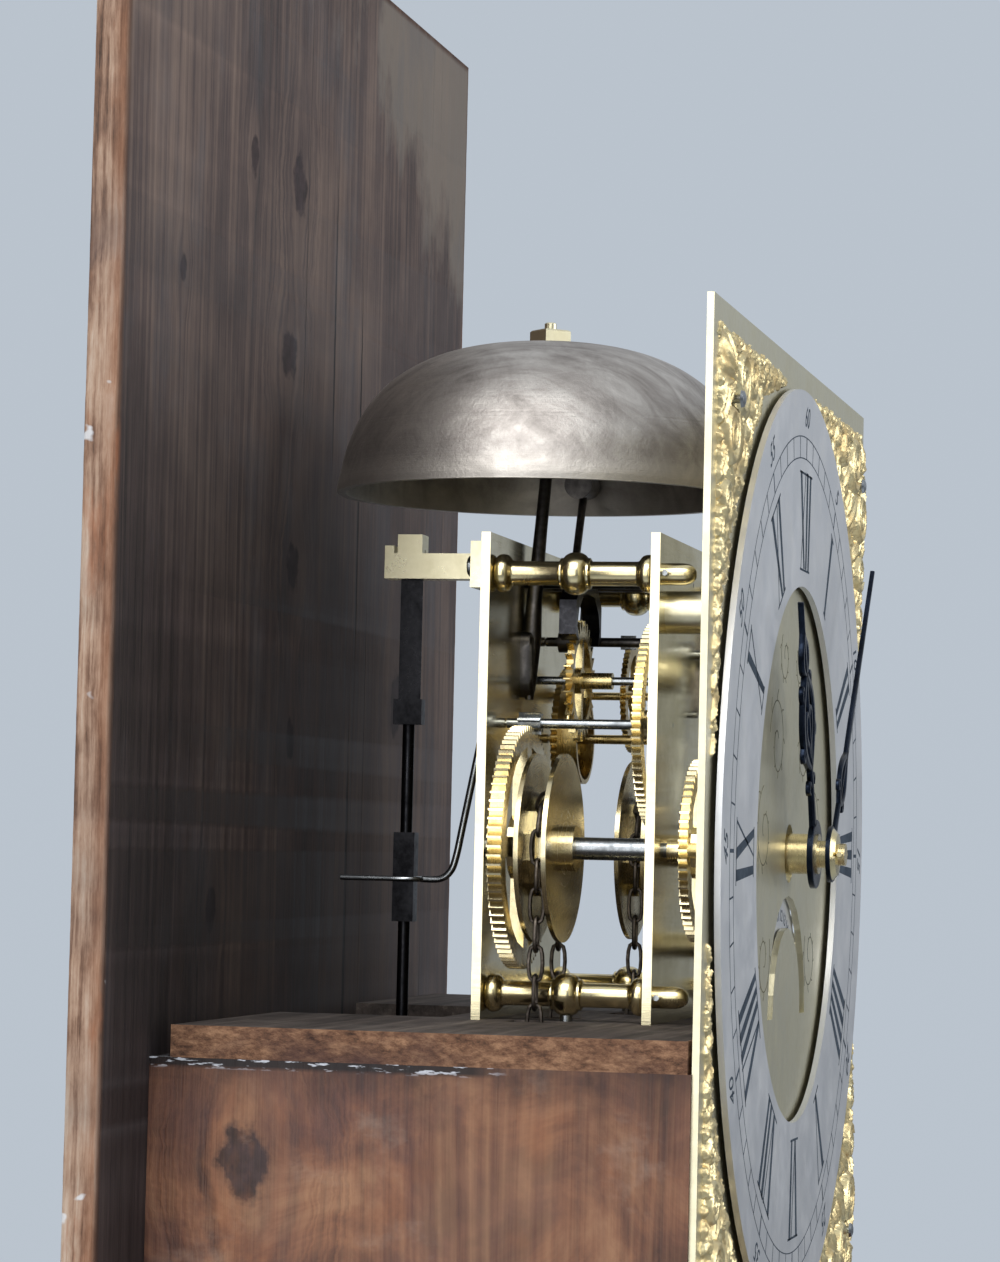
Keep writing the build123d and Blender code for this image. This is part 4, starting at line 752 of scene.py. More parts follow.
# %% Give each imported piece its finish
finishes = {
    backboard_pine: ["backboard"],
    side_pine: ["trunk_sides"],
    stile_wood: ["trunk_frame", "trunk_door", "plinth_boards"],
    rail_wood: ["throat_moulding", "plinth_mouldings"],
    seat_elm: ["seatboard"],
    fitting_brass: ["fixed_hinge_leaves", "door_hinge_leaves", "door_catch"],
    plate_brass: ["front_plate", "back_plate"],
    pillar_brass: ["pillars", "hand_collet"],
    cock_brass: ["backcock"],
    bright_steel: [
        "taper_pins",
        "going_great_arbor",
        "second_arbor",
        "escape_arbor",
        "strike_great_arbor",
        "fly",
        "studs_and_screws",
        "lifting_piece",
    ],
    stand_steel: ["bell_stand", "hammer", "detent", "crutch"],
    bell_metal: ["bell"],
    dial_brass: ["dial_plate"],
    silver: ["chapter_ring", "date_disc"],
    gilt: ["spandrels"],
    wheel_finish["going"]: ["going_great_wheel", "going_chain_wheel", "motion_drive_wheel"],
    wheel_finish["middle"]: ["cannon_wheel", "hour_wheel"],
    wheel_finish["second"]: ["second_wheel"],
    wheel_finish["escape"]: ["escape_wheel"],
    wheel_finish["strike"]: ["strike_great_wheel", "strike_chain_wheel"],
    wheel_finish["hoop"]: ["hoop_wheel"],
    wheel_finish["warning"]: ["warning_wheel"],
    wheel_finish["count"]: ["count_wheel"],
    dark_steel: ["pallets", "pendulum_rod"],
    blued_steel: ["hour_hand", "minute_hand"],
    chain_iron: [
        "chain_links",
        "going_chain_loaded",
        "going_chain_tail",
        "strike_chain_loaded",
        "strike_chain_tail",
    ],
    cast_lead: ["going_weight", "strike_weight", "going_ring", "strike_ring"],
    bob_brass: ["bob", "rating_nut"],
}
for finish, names in finishes.items():
    for name in names:
        nodes[name].data.materials.clear()
        nodes[name].data.materials.append(finish)
print(sum(len(names) for names in finishes.values()), "packed pieces finished")

# %% [markdown]
# ## Worn edges of the backboard
#
# Two centuries of knocks have rounded and chipped the edges of the board. Its outline from above is a long
# thin rectangle with round corners. That outline is carried up the board, and at each height its edge is
# pushed in a little by a mixture of slow and quick waves, with a few deeper chips.

# %% Wear the backboard
shuffle = np.random.default_rng(11)
board_rear, board_front = 108.5, 98.5
quarters = ((1, 1), (-1, 1), (-1, -1), (1, -1))


def worn_board(shell, half_width, bottom, top, step, depth):
    """A rounded thin rectangle carried upward; each edge moves in by summed sine waves plus rare chips."""
    z = np.arange(bottom, top + step / 2, step)
    z[-1] = top
    corner = 1.4
    arc = np.linspace(0, np.pi / 2, 5)
    across, deep = half_width - corner, (board_rear - board_front) / 2 - corner
    points, outward = [], []
    for number, (sx, sy) in enumerate(quarters):
        for angle in arc + number * np.pi / 2:
            points.append((sx * across + corner * np.cos(angle), sy * deep + corner * np.sin(angle)))
            outward.append((np.cos(angle), np.sin(angle)))
    points, outward = np.array(points), np.array(outward)
    rows, columns = len(z), len(points)
    wave = np.zeros((rows, 2))
    for side in range(2):
        for length in (190.0, 83.0, 37.0, 17.0, 9.0):
            wave[:, side] += np.sin(z / length * 2 * np.pi + shuffle.uniform(0, 6.3)) * length**0.5 * 0.035
        for _ in range(max(2, int((top - bottom) / 90))):
            middle, tall = shuffle.uniform(bottom, top), shuffle.uniform(4, 12)
            wave[:, side] += shuffle.uniform(0.5, 1.7) * np.exp(-(((z - middle) / tall) ** 2))
    wave = np.clip(wave - wave.min(0), 0, 2.6) * depth / 2.0
    push = np.where(points[:, 0] > 0, wave[:, :1], wave[:, 1:]) * np.abs(outward[:, 0])
    jitter = shuffle.uniform(0, 0.22, (rows, columns))
    x = points[:, 0] - np.sign(points[:, 0]) * (push + jitter * np.abs(outward[:, 0]))
    middle = (board_rear + board_front) / 2
    y = middle + points[:, 1] - np.sign(points[:, 1]) * jitter * np.abs(outward[:, 1]) * 0.3
    shell.grid(np.stack((x, y, z[:, None] + 0 * x), -1) - dial_centre)


shell = Shell()
for half_width, bottom, top, step, depth in (
    (184.0, 0.0, 500.0, 4.0, 1.5),
    (154.0, 498.0, 1442.0, 4.0, 0.5),
    (197.0, 1440.0, 1900.0, 2.5, 1.5),
):
    worn_board(shell, half_width, bottom, top, step, depth)
shell.piece("worn_backboard", "case", backboard_pine, ["backboard"], 50)
print("backboard of", shell.count, "points")

# %% [markdown]
# ## Bell
#
# The bell is cast in bell metal and turned inside and out: a shallow dome 2.4 mm thick with a slightly
# thicker lip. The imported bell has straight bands, so a smooth outline is turned here instead, outside and
# inside in one closed wall.

# %% Turn the bell
outer_curve = smooth_line(
    [
        (66.0, 110.0), (65.9, 112.6), (65.0, 116.5), (62.6, 126.0), (57.4, 136.6), (48.8, 146.0),
        (36.0, 153.2), (20.0, 157.2), (1.95, 158.0),
    ],
    60,
)
inner_curve = smooth_line(
    [
        (1.95, 155.6), (20.0, 154.8), (34.6, 150.9), (47.0, 144.0), (55.2, 135.2), (60.3, 125.4),
        (62.7, 116.2), (63.3, 110.0),
    ],
    48,
)
bell_wall = np.concatenate((outer_curve, inner_curve))
shell = Shell()
shell.grid(turned_grid(bell_wall[:, ::-1], (0, 79, 0), "z", 128), round_rows=True)
shell.piece("bell_dome", "case", bell_metal, ["bell"], 40)
print("bell wall of", len(bell_wall), "rings")

# %% [markdown]
# ## Pillars, studs and screws
#
# Four turned pillars hold the plates apart. Each has a knop in the middle, a bead at each end and a bullet
# nose that stands through the front plate with a taper pin across it. The screws and posts are turned
# steel.

# %% Turn the pillars
nose = smooth_line([(22.0, 0.02), (22.15, 1.1), (22.9, 2.2), (24.4, 3.0), (26.6, 3.3), (31.6, 3.3)], 20)
front_bead = smooth_line(
    [
        (34.4, 3.3), (34.45, 4.5), (35.3, 5.5), (36.7, 5.8), (38.2, 5.4), (39.2, 4.3), (39.7, 3.8),
        (41.0, 3.7),
    ],
    20,
)
front_half = smooth_line(
    [(53.8, 3.7), (54.2, 4.0), (54.5, 4.7), (55.3, 4.8), (56.0, 5.6), (57.4, 6.3), (58.95, 6.5)], 18
)
half_profile = np.concatenate((front_bead, front_half))
mirrored = half_profile[::-1].copy()
mirrored[:, 0] = 117.9 - mirrored[:, 0]
pillar_profile = np.concatenate((nose, half_profile, mirrored[1:], [(83.5, 3.0), (86.3, 3.0)]))
pillar_places = [(-48.0, 82.6), (48.0, 82.6), (-48.0, -43.8), (48.0, -43.8)]
shell = Shell()
for x, z in pillar_places:
    shell.grid(turned_grid(pillar_profile, (x, 0, z), "y", 40))
shell.piece("turned_pillars", "case", pillar_brass, ["pillars"])

# %% Turn the screws and the brass bell nut
turned_parts = [
    ([(82.5, 1.78), (97.5, 1.78), (97.5, 3.3), (99.2, 3.3), (99.7, 2.7)], "y", 24, (-17.0, 0, 87.0)),
    ([(82.5, 1.78), (97.5, 1.78), (97.5, 3.3), (99.2, 3.3), (99.7, 2.7)], "y", 24, (17.0, 0, 87.0)),
    ([(81.0, 1.48), (86.3, 1.48), (86.3, 2.9), (87.7, 2.9), (88.1, 2.4)], "y", 24, (-9.0, 0, 52.0)),
    ([(-43.2, 1.88), (-60.8, 1.88), (-60.8, 5.8), (-64.4, 6.0), (-64.8, 5.4)], "z", 24, (-48.0, 59.0, 0)),
    ([(-43.2, 1.88), (-60.8, 1.88), (-60.8, 5.8), (-64.4, 6.0), (-64.8, 5.4)], "z", 24, (48.0, 59.0, 0)),
    ([(35.6, 4.3), (34.4, 4.5), (34.4, 2.38), (-4.4, 2.38), (-5.0, 1.6)], "y", 24, (0, 0, 0)),
    ([(34.4, 1.48), (22.8, 1.48), (22.5, 1.1)], "y", 20, (18.0, 0, 62.0)),
    ([(93.4, 1.98), (83.5, 1.98)], "y", 20, (33.0, 0, 24.2)),
]
rivet = [(0.6, 1.28), (-3.6, 1.28), (-3.6, 2.5), (-4.4, 2.2), (-4.8, 1.2)]
turned_parts += [(rivet, "y", 16, (sx * 126.0, 0, sz * 126.0)) for sx, sz in quarters]
shell = Shell()
for profile, along, steps, centre in turned_parts:
    shell.grid(turned_grid(profile, centre, along, steps))
shell.piece("turned_screws_and_posts", "case", bright_steel, ["studs_and_screws"])
shell = Shell()
corners = circle(1.0, 4)
levels = [(158.0, 5.9), (158.3, 6.6), (162.5, 6.6), (163.0, 5.9)]
nut = np.array([[(a * reach, 79.0 + b * reach, height) for a, b in corners] for height, reach in levels])
shell.grid(nut)
shell.grid(turned_grid([(162.9, 1.9), (165.0, 1.9), (165.4, 1.4)], (0, 79.0, 0), "z", 16))
shell.piece("square_bell_nut", "case", cock_brass, (), 20)
print("pillars, screws and nut turned")

# %% [markdown]
# ## Bell stand and crutch
#
# Both are forged steel. The stand rises from a small foot on the back plate, thick below and thin above.
# The crutch is a wire that hangs from the pallets behind the back plate, bends back through a rounded
# corner and ends in a fork that holds the pendulum rod. Each is a round section carried along a smooth
# path.

# %% Forge the stand and the crutch
stand_path = smooth_line(
    [
        (-9.0, 81.2, 46.0), (-8.8, 81.0, 58.0), (-7.6, 80.7, 75.0), (-4.2, 79.9, 97.0),
        (-0.6, 79.1, 118.0), (0, 79.0, 124.0),
    ],
    60,
)
stand_swell = np.interp(stand_path[:, 2], [46, 52, 66, 78, 100, 124], [1.3, 2.1, 3.0, 2.4, 2.0, 1.9])
round_section = circle(1.0, 20)
shell = Shell()
shell.grid(swept_grid(stand_path, stand_swell[:, None, None] * round_section[None]))
shell.grid(
    turned_grid(
        [(119.0, 2.0), (119.6, 3.2), (124.0, 3.4), (150.0, 3.2), (155.5, 3.2), (155.5, 1.9), (159.0, 1.9)],
        (0, 79.0, 0),
        "z",
        28,
    )
)
foot = smooth_line(
    [(3.6, 9.0), (3.9, -2.0), (2.6, -8.0), (0.0, -10.4), (-2.6, -8.0), (-3.9, -2.0), (-3.6, 9.0)],
    40,
    closed=True,
)
foot_levels = [(83.5, 1.0), (80.6, 1.0), (79.7, 0.86)]
foot_grid = np.array(
    [[(-9.0 + a * share, y, 57.0 + b * share) for a, b in foot] for y, share in foot_levels]
)
shell.grid(foot_grid)
shell.piece("forged_bell_stand", "case", stand_steel, ["bell_stand"])
crutch_path = smooth_line(
    [
        (0, 89.4, 81.0), (0, 92.4, 64.0), (0, 97.6, 38.0), (0, 103.4, 8.0), (0, 105.6, -3.2),
        (0, 107.4, -8.0), (0, 110.8, -10.4), (0, 117.0, -10.6),
    ],
    90,
)
crutch_width = np.interp(np.arange(90), [0, 12, 60, 89], [1.5, 1.15, 1.15, 1.05])
fork_path = smooth_line(
    [
        (-3.8, 142.0, -10.6), (-3.8, 130.0, -10.6), (-3.6, 121.6, -10.6), (-2.0, 117.6, -10.6),
        (0, 116.6, -10.6), (2.0, 117.6, -10.6), (3.6, 121.6, -10.6), (3.8, 130.0, -10.6),
        (3.8, 142.0, -10.6),
    ],
    70,
)
shell = Shell()
shell.grid(swept_grid(crutch_path, crutch_width[:, None, None] * round_section[None], (1.0, 0, 0)))
shell.grid(swept_grid(fork_path, 0.85 * round_section, (0, 0, 1.0)))
collet = [(87.2, 1.3), (87.2, 2.8), (87.7, 3.0), (90.5, 3.0), (91.0, 2.8), (91.0, 1.3)]
shell.grid(turned_grid(collet, (0, 0, 82.7), "y", 28), round_rows=True)
shell.piece("bent_crutch", "pallet_work", bright_steel, ["crutch"])
print("stand and crutch forged")

# %% [markdown]
# ## Chain
#
# The chain is bent iron wire, one oval link every 8.64 mm, each turned a quarter from the last. One link is
# a small ring of wire carried round an oval; every other link is the same points moved and turned, all in
# one array sum.

# %% Bend the links
wheel_steps, link_pitch, wire = 12, 8.64, 0.62
step_turn = 2 * np.pi / wheel_steps
going_x, going_y, strike_x, strike_y = -40.0, 67.0, 40.0, 52.5
first_link, last_link = 10, 88
wrap_radius = link_pitch / 2 / np.tan(step_turn / 2)
oval_turn = np.linspace(0, 2 * np.pi, 16, endpoint=False)
straight = 5.1 - 2.15
oval = np.stack(
    (
        straight * np.clip(1.6 * np.cos(oval_turn), -1, 1) + 2.15 * np.cos(oval_turn),
        2.15 * np.sin(oval_turn),
        0 * oval_turn,
    ),
    -1,
)
one_link = swept_grid(oval, circle(wire, 6), (0, 0, 1.0), closed=True)


def chain(shell, middles, alongs, acrosses):
    """Copies of one link: its middle, plus its length along one direction and its width across it."""
    flats = np.cross(alongs, acrosses)
    frames = np.stack((alongs, acrosses, flats), 1)
    links = middles[:, None, None] + np.einsum("rcj,njk->nrck", one_link, frames)
    for link in links:
        shell.grid(link, round_rows=True)


def run_of_chain(x, y, first, last):
    """Middles, lengths and widths of the hanging links numbered first to last below the wheel."""
    n = np.arange(first, last + 1)
    middles = np.stack((x + 0.0 * n, y + 0.0 * n, -link_pitch * n), -1)
    alongs = np.tile((0.0, 0.0, 1.0), (len(n), 1))
    acrosses = np.where((n % 2 == 0)[:, None], (0.0, 1.0, 0.0), (1.0, 0.0, 0.0))
    return middles, alongs, acrosses


wheel_chain = Shell()
for wheel_x, chain_y in ((going_x, going_y), (strike_x, strike_y)):
    n = np.arange(wheel_steps // 2 + 1)
    angle = n * step_turn
    outward = np.stack((np.cos(angle), 0 * angle, np.sin(angle)), -1)
    alongs = np.stack((-np.sin(angle), 0 * angle, np.cos(angle)), -1)
    middles = np.array((wheel_x, chain_y, 0.0)) + wrap_radius * outward
    chain(wheel_chain, middles, alongs, np.where((n % 2 == 0)[:, None], (0.0, 1.0, 0.0), outward))
    for side in (-1, 1):
        chain(wheel_chain, *run_of_chain(wheel_x + side * wrap_radius, chain_y, 1, first_link - 1))
wheel_chain.piece("chain_on_the_wheels", "case", chain_iron, ["chain_links"], 60)
runs = (
    ("going_chain_loaded", going_x - wrap_radius, going_y, "going_weight_body"),
    ("going_chain_tail", going_x + wrap_radius, going_y, "going_ring_body"),
    ("strike_chain_tail", strike_x - wrap_radius, strike_y, "strike_ring_body"),
    ("strike_chain_loaded", strike_x + wrap_radius, strike_y, "strike_weight_body"),
)
for node, x, y, body in runs:
    run = Shell()
    chain(run, *run_of_chain(x, y, first_link, last_link))
    made = run.piece(node + "_links", "case", chain_iron, [node], 60)
    made.parent = None
    del made["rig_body"]
    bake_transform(made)
print(len(runs), "hanging runs of", last_link - first_link + 1, "links")

# %% [markdown]
# ## Weights, rings and pendulum bob
#
# Each weight is a lead cylinder, poured in a mould with softened shoulders, with an iron hook in its top.
# The free ends of the chains carry small lead rings. The bob is two spun brass shells over lead, meeting at
# a narrow rim.

# %% Pour the weights and spin the bob
top = 850.0 - 1612.0
for node, x, y, body in (
    ("going_weight", going_x - wrap_radius, going_y, "going_weight_body"),
    ("strike_weight", strike_x + wrap_radius, strike_y, "strike_weight_body"),
):
    crown = smooth_line([(-24.0, 0.05), (-24.2, 14.0), (-25.2, 20.5), (-28.0, 23.4), (-34.0, 24.0)], 18)
    base = smooth_line([(-148.0, 24.0), (-151.6, 23.2), (-153.6, 20.0), (-154.0, 0.05)], 14)
    shell = Shell()
    shell.grid(turned_grid(np.concatenate((crown, base)), (x, y, top), "z", 56))
    shell.piece(node + "_lead", body, cast_lead, [node])
    hook = smooth_line(
        [
            (0, -28.0), (0, -21.0), (-1.0, -17.0), (-4.6, -13.6), (-5.4, -9.0), (-3.2, -4.6), (0.6, -3.4),
            (3.8, -5.6), (4.6, -9.4),
        ],
        44,
    )
    hook_path = np.stack((x + hook[:, 0], y + 0 * hook[:, 0], top + hook[:, 1]), -1)
    shell = Shell()
    shell.grid(swept_grid(hook_path, 1.3 * circle(1.0, 12)))
    shell.piece(node + "_hook", body, chain_iron)
for node, x, y, body in (
    ("going_ring", going_x + wrap_radius, going_y, "going_ring_body"),
    ("strike_ring", strike_x - wrap_radius, strike_y, "strike_ring_body"),
):
    angle = np.linspace(0, 2 * np.pi, 40, endpoint=False)
    middle_line = np.stack((x + 5.4 * np.cos(angle), y + 0 * angle, top - 7.5 + 5.4 * np.sin(angle)), -1)
    squashed = circle(1.0, 16) * (2.0, 3.4)
    shell = Shell()
    shell.grid(swept_grid(middle_line, squashed, (0, 1.0, 0), closed=True), round_rows=True)
    shell.piece(node + "_lead", body, cast_lead, [node])
half_bob = smooth_line(
    [
        (107.0, 1.9), (107.5, 12.0), (109.6, 26.0), (114.2, 39.0), (118.8, 44.6), (120.2, 45.7),
        (120.8, 46.0),
    ],
    40,
)
other_half = half_bob[::-1].copy()
other_half[:, 0] = 244.0 - other_half[:, 0]
shell = Shell()
shell.grid(turned_grid(np.concatenate((half_bob, other_half)), (0, 0, -918.0), "y", 96))
shell.piece("spun_bob", "bob_body", bob_brass, ["bob"])
nut_z = np.array([-964.2, -965.0, -969.4, -970.1])
flutes = 1 + 0.035 * np.cos(24 * np.linspace(0, 2 * np.pi, 144, endpoint=False))
nut_grid = turned_grid(np.stack((nut_z, [7.2, 8.0, 8.0, 7.2]), -1), (0, 122.0, 0), "z", 144)
nut_grid[..., 0] *= flutes * 0.96
nut_grid[..., 1] = 122.0 + (nut_grid[..., 1] - 122.0) * flutes * 0.96
shell = Shell()
shell.grid(nut_grid)
shell.piece("knurled_rating_nut", "nut_body", bob_brass, ["rating_nut"])
print("weights, rings and bob made")

# %% [markdown]
# ## Dial ornaments
#
# The corner pieces are cast brass, gilt, with leaves and scrolls standing up to 3.6 mm from the plate. Each
# is one height above the plate worked out from two distances, along and up from the corner. A leaf is half
# an ellipsoid with a groove down its middle, a scroll is a ridge that winds inwards, and where the height
# falls below the plate the plate itself shows through, as it does between the leaves of the real casting.

# %% Cast the corner ornaments
plate_edge = 151.0


def leaf(a, b, centre, length, width, turn, ribs=3.0):
    """Half an ellipsoid along a direction, with a few grooves fanning from its root."""
    c, s = np.cos(turn), np.sin(turn)
    u, v = (a - centre[0]) * c + (b - centre[1]) * s, -(a - centre[0]) * s + (b - centre[1]) * c
    body = 1 - (u / length) ** 2 - (v / width) ** 2
    fan = np.arctan2(v, u + 1.3 * length)
    grooves = 0.86 + 0.14 * np.cos(fan * ribs * 9.0)
    return np.sqrt(np.clip(body, 0, 1)) * grooves


def scroll(a, b, centre, radius, hand, start):
    """A rounded ridge whose distance from the centre grows with the angle, like a watch spring."""
    u, v = a - centre[0], hand * (b - centre[1])
    away, angle = np.hypot(u, v), (np.arctan2(v, u) - start) % (2 * np.pi)
    ridge = 0
    for lap in range(2):
        line = radius * (0.18 + 0.41 * (angle / (2 * np.pi) + lap))
        ridge = np.maximum(ridge, 1 - np.clip(np.abs(away - line) / (0.17 * radius + 0.5), 0, 1) ** 2)
    return np.sqrt(np.clip(ridge, 0, 1)) * (away < radius * 1.25)


def corner_height(a, b):
    """The tallest ornament, 0 to 1, at distances a and b from the two edges of the plate."""
    p, q = a - 5.0, b - 5.0
    height = np.zeros_like(a)
    for one, two in ((p, q), (q, p)):
        shapes = [
            0.98 * scroll(one, two, (30.0, 13.5), 9.0, 1, 2.4),
            0.80 * scroll(one, two, (49.0, 10.0), 6.2, -1, 1.2),
            0.66 * scroll(one, two, (64.0, 7.6), 4.2, 1, 0.6),
            0.90 * leaf(one, two, (21.5, 6.5), 8.5, 4.4, -0.2),
            0.82 * leaf(one, two, (39.0, 6.0), 7.0, 3.6, -0.25),
            0.76 * leaf(one, two, (41.5, 17.5), 8.0, 3.8, 0.9),
            0.72 * leaf(one, two, (33.0, 25.5), 8.0, 3.9, 1.15),
            0.70 * leaf(one, two, (56.0, 5.4), 6.0, 2.9, -0.1),
            0.62 * leaf(one, two, (57.0, 12.6), 6.2, 2.8, 0.55),
            0.56 * leaf(one, two, (70.5, 4.6), 6.0, 2.2, 0.05),
            0.52 * leaf(one, two, (22.0, 25.0), 7.5, 2.6, 0.5),
        ]
        for n in range(10):
            side = (-1) ** n
            centre = (75.0 + 4.7 * n, 5.6 - 0.16 * n + 1.5 * side * (1 - n / 14))
            shapes.append((0.62 - 0.02 * n) * leaf(one, two, centre, 4.4, 2.4 - 0.09 * n, 0.55 * side))
        for shape in shapes:
            height = np.maximum(height, shape)
        beads = np.sqrt(np.clip(1 - ((one - 14.0) % 5.2 - 2.6) ** 2 / 4.4 - (two - 3.0) ** 2 / 3.4, 0, 1))
        height = np.maximum(height, 0.58 * beads * (one > 12) * (one < 76))
    fan = np.arctan2(q - 15.0, p - 15.0)
    away = np.hypot(p - 12.5, q - 12.5)
    shell_shape = np.sqrt(np.clip(1 - (away / 11.5) ** 2, 0, 1)) * (0.8 + 0.2 * np.cos(fan * 11.0))
    height = np.maximum(height, shell_shape)
    height = np.maximum(height, 0.86 * leaf(p, q, (27.5, 27.5), 12.5, 6.0, np.pi / 4, 4.0))
    for n in range(5):
        turn = np.radians(47.5 + 4.3 * n)
        for one, two in ((a, b), (b, a)):
            centre = (plate_edge - 153.0 * np.cos(turn), plate_edge - 153.0 * np.sin(turn))
            size = 1.0 - 0.07 * n
            curl = leaf(one, two, centre, 6.4 * size, 3.0 * size, turn + 0.5)
            height = np.maximum(height, (0.66 - 0.04 * n) * curl)
    from_centre = np.hypot(plate_edge - a, plate_edge - b)
    cloudy = np.sin(p * 0.52 + 1.3 * np.sin(q * 0.31)) * np.sin(q * 0.57 + 1.1 * np.sin(p * 0.37))
    low, high = np.minimum(p, q), np.maximum(p, q)
    inner = from_centre > 147.5 + 1.5 * np.sin(np.arctan2(p + 9.0, q + 9.0) * 30.0)
    outer = low > 1.7 + 0.9 * np.sin(high * 1.15) + 0.5 * np.sin(high * 2.9)
    arm = low < np.where(high > 72, 11.5 - 0.13 * (high - 72) + 1.2 * np.sin(high * 1.3), 99.0)
    ground = np.where(inner & outer & arm & (high < 120), 0.24 + 0.16 * cloudy, 0.0)
    height = np.maximum(height, ground)
    chased = 0.035 * np.sin(a * 5.1 + 2.0 * np.sin(b * 2.3))
    chased = chased + 0.03 * np.sin(b * 6.3 + 1.7 * np.sin(a * 3.1))
    height = height + chased * (height > 0.05)
    return np.where((from_centre > 144.5) & (low > 0.2), np.clip(height, 0, 1), 0.0)


def cast_sheet(shell, line_a, line_b, sx, sz):
    """A closed sheet in one corner of the plate: the relief at the front, and one flat face behind it."""
    a, b = np.meshgrid(line_a, line_b, indexing="ij")
    rows, columns = a.shape
    lift = 0.6 - 4.1 * corner_height(a, b)
    lift[[0, -1]] = 0.8
    lift[:, [0, -1]] = 0.8
    front = np.stack((sx * (plate_edge - a), lift, sz * (plate_edge - b)), -1)
    rim = [r * columns for r in range(rows)] + list(range((rows - 1) * columns + 1, rows * columns))
    rim += [r * columns + columns - 1 for r in range(rows - 2, -1, -1)] + list(range(columns - 2, 0, -1))
    shell.put(front, sheet_faces(rows, columns).tolist() + [rim])


shell = Shell()
corner_line = np.linspace(3.0, 84.0, 128)
long_line = np.linspace(80.0, 128.0, 76)
short_line = np.linspace(3.5, 21.5, 28)
for sx, sz in quarters:
    cast_sheet(shell, corner_line, corner_line, sx, sz)
    cast_sheet(shell, long_line, short_line, sx, sz)
    cast_sheet(shell, short_line, long_line, sx, sz)
shell.piece("cast_corner_ornaments", "case", gilt, ["spandrels"], 60)
print("corner ornaments of", shell.count, "points")

# %% [markdown]
# ## Engraving in the dial centre
#
# The centre of the plate is lightly engraved with leafy scrolls. Each scroll is a fine line whose distance
# from its middle shrinks evenly as it turns, and short side strokes along it stand for the cut leaves.

# %% Engrave the dial centre
# The lines are coloured darker than the plate: painted shade in the cuts.
engraved = dull_metal("engraved_lines_in_painted_shade", "#6a6550", "#8f896f", 0.6, 0.1, 300.0, 0.00002)
fine_line = [(-0.2, -0.03), (0.2, -0.03), (0.2, 0.03), (-0.2, 0.03)]
share = np.linspace(0, 1, 56)
shell = Shell()
for hand in (-1, 1):
    for x, z, size, start, turns in (
        (27.0, 33.0, 15.0, 0.2, 1.35),
        (49.0, 6.0, 14.0, 1.4, -1.3),
        (46.0, -32.0, 12.0, 2.6, 1.3),
        (14.0, 60.0, 9.0, 0.8, -1.2),
    ):
        angle = start + share * 2 * np.pi * turns
        radius = size * (1 - 0.84 * share)
        path = np.stack(
            (hand * (x + radius * np.cos(angle)), 0 * share - 0.02, z + radius * np.sin(angle)), -1
        )
        shell.grid(swept_grid(path, fine_line))
        for n in range(3, 44, 5):
            out = np.array([hand * np.cos(angle[n]), 0.0, np.sin(angle[n])])
            ahead = path[n + 1] - path[n]
            ahead /= np.linalg.norm(ahead)
            reach = np.linspace(0, size * 0.28 * (1 - share[n]), 7)[:, None]
            stroke = path[n] + out * reach + ahead * reach**2 / (size * 0.3)
            shell.grid(swept_grid(stroke, fine_line))
shell.piece("engraved_dial_centre", "case", engraved, (), 40)
print("engraving of", shell.count, "points")

# %% [markdown]
# ## Hands
#
# The hands are sawn from steel sheet, filed, and blued by heat until nearly black. The hour hand is pierced
# with curls that a saw leaves standing. Each curl here is a flat strip with filed edges carried along a
# smooth curve, wider in the middle, and its mirror image.

# %% Saw and file the hands


def strip(shell, corners, widths, front, back, turn, both, count=36):
    """A flat strip of varying width along a curve in the dial's plane, turned about the dial centre."""
    line = smooth_line(corners, count)
    half = np.interp(np.linspace(0, 1, count), np.linspace(0, 1, len(widths)), widths) / 2
    deep = (back - front) / 2
    outline = np.array([(-1, 1), (-1, -0.35), (-0.62, -1), (0.62, -1), (1, -0.35), (1, 1)], float)
    for mirror in (1, -1) if both else (1,):
        x, z = line[:, 0], mirror * line[:, 1]
        c, s = np.cos(turn), np.sin(turn)
        path = np.stack((x * c - z * s, 0 * x + (front + back) / 2, x * s + z * c), -1)
        section = np.stack(
            (outline[None, :, 0] * half[:, None], outline[None, :, 1] * deep + 0 * half[:, None]), -1
        )
        shell.grid(swept_grid(path, section))


def boss(shell, inner, outer, front, back):
    """A flat ring with filed edges round the dial centre."""
    soft = 0.25
    ring = [(back, inner), (back, outer), (front + soft, outer), (front, outer - soft), (front, inner)]
    shell.grid(turned_grid(ring, (0, 0, 0), "y", 56), round_rows=True)


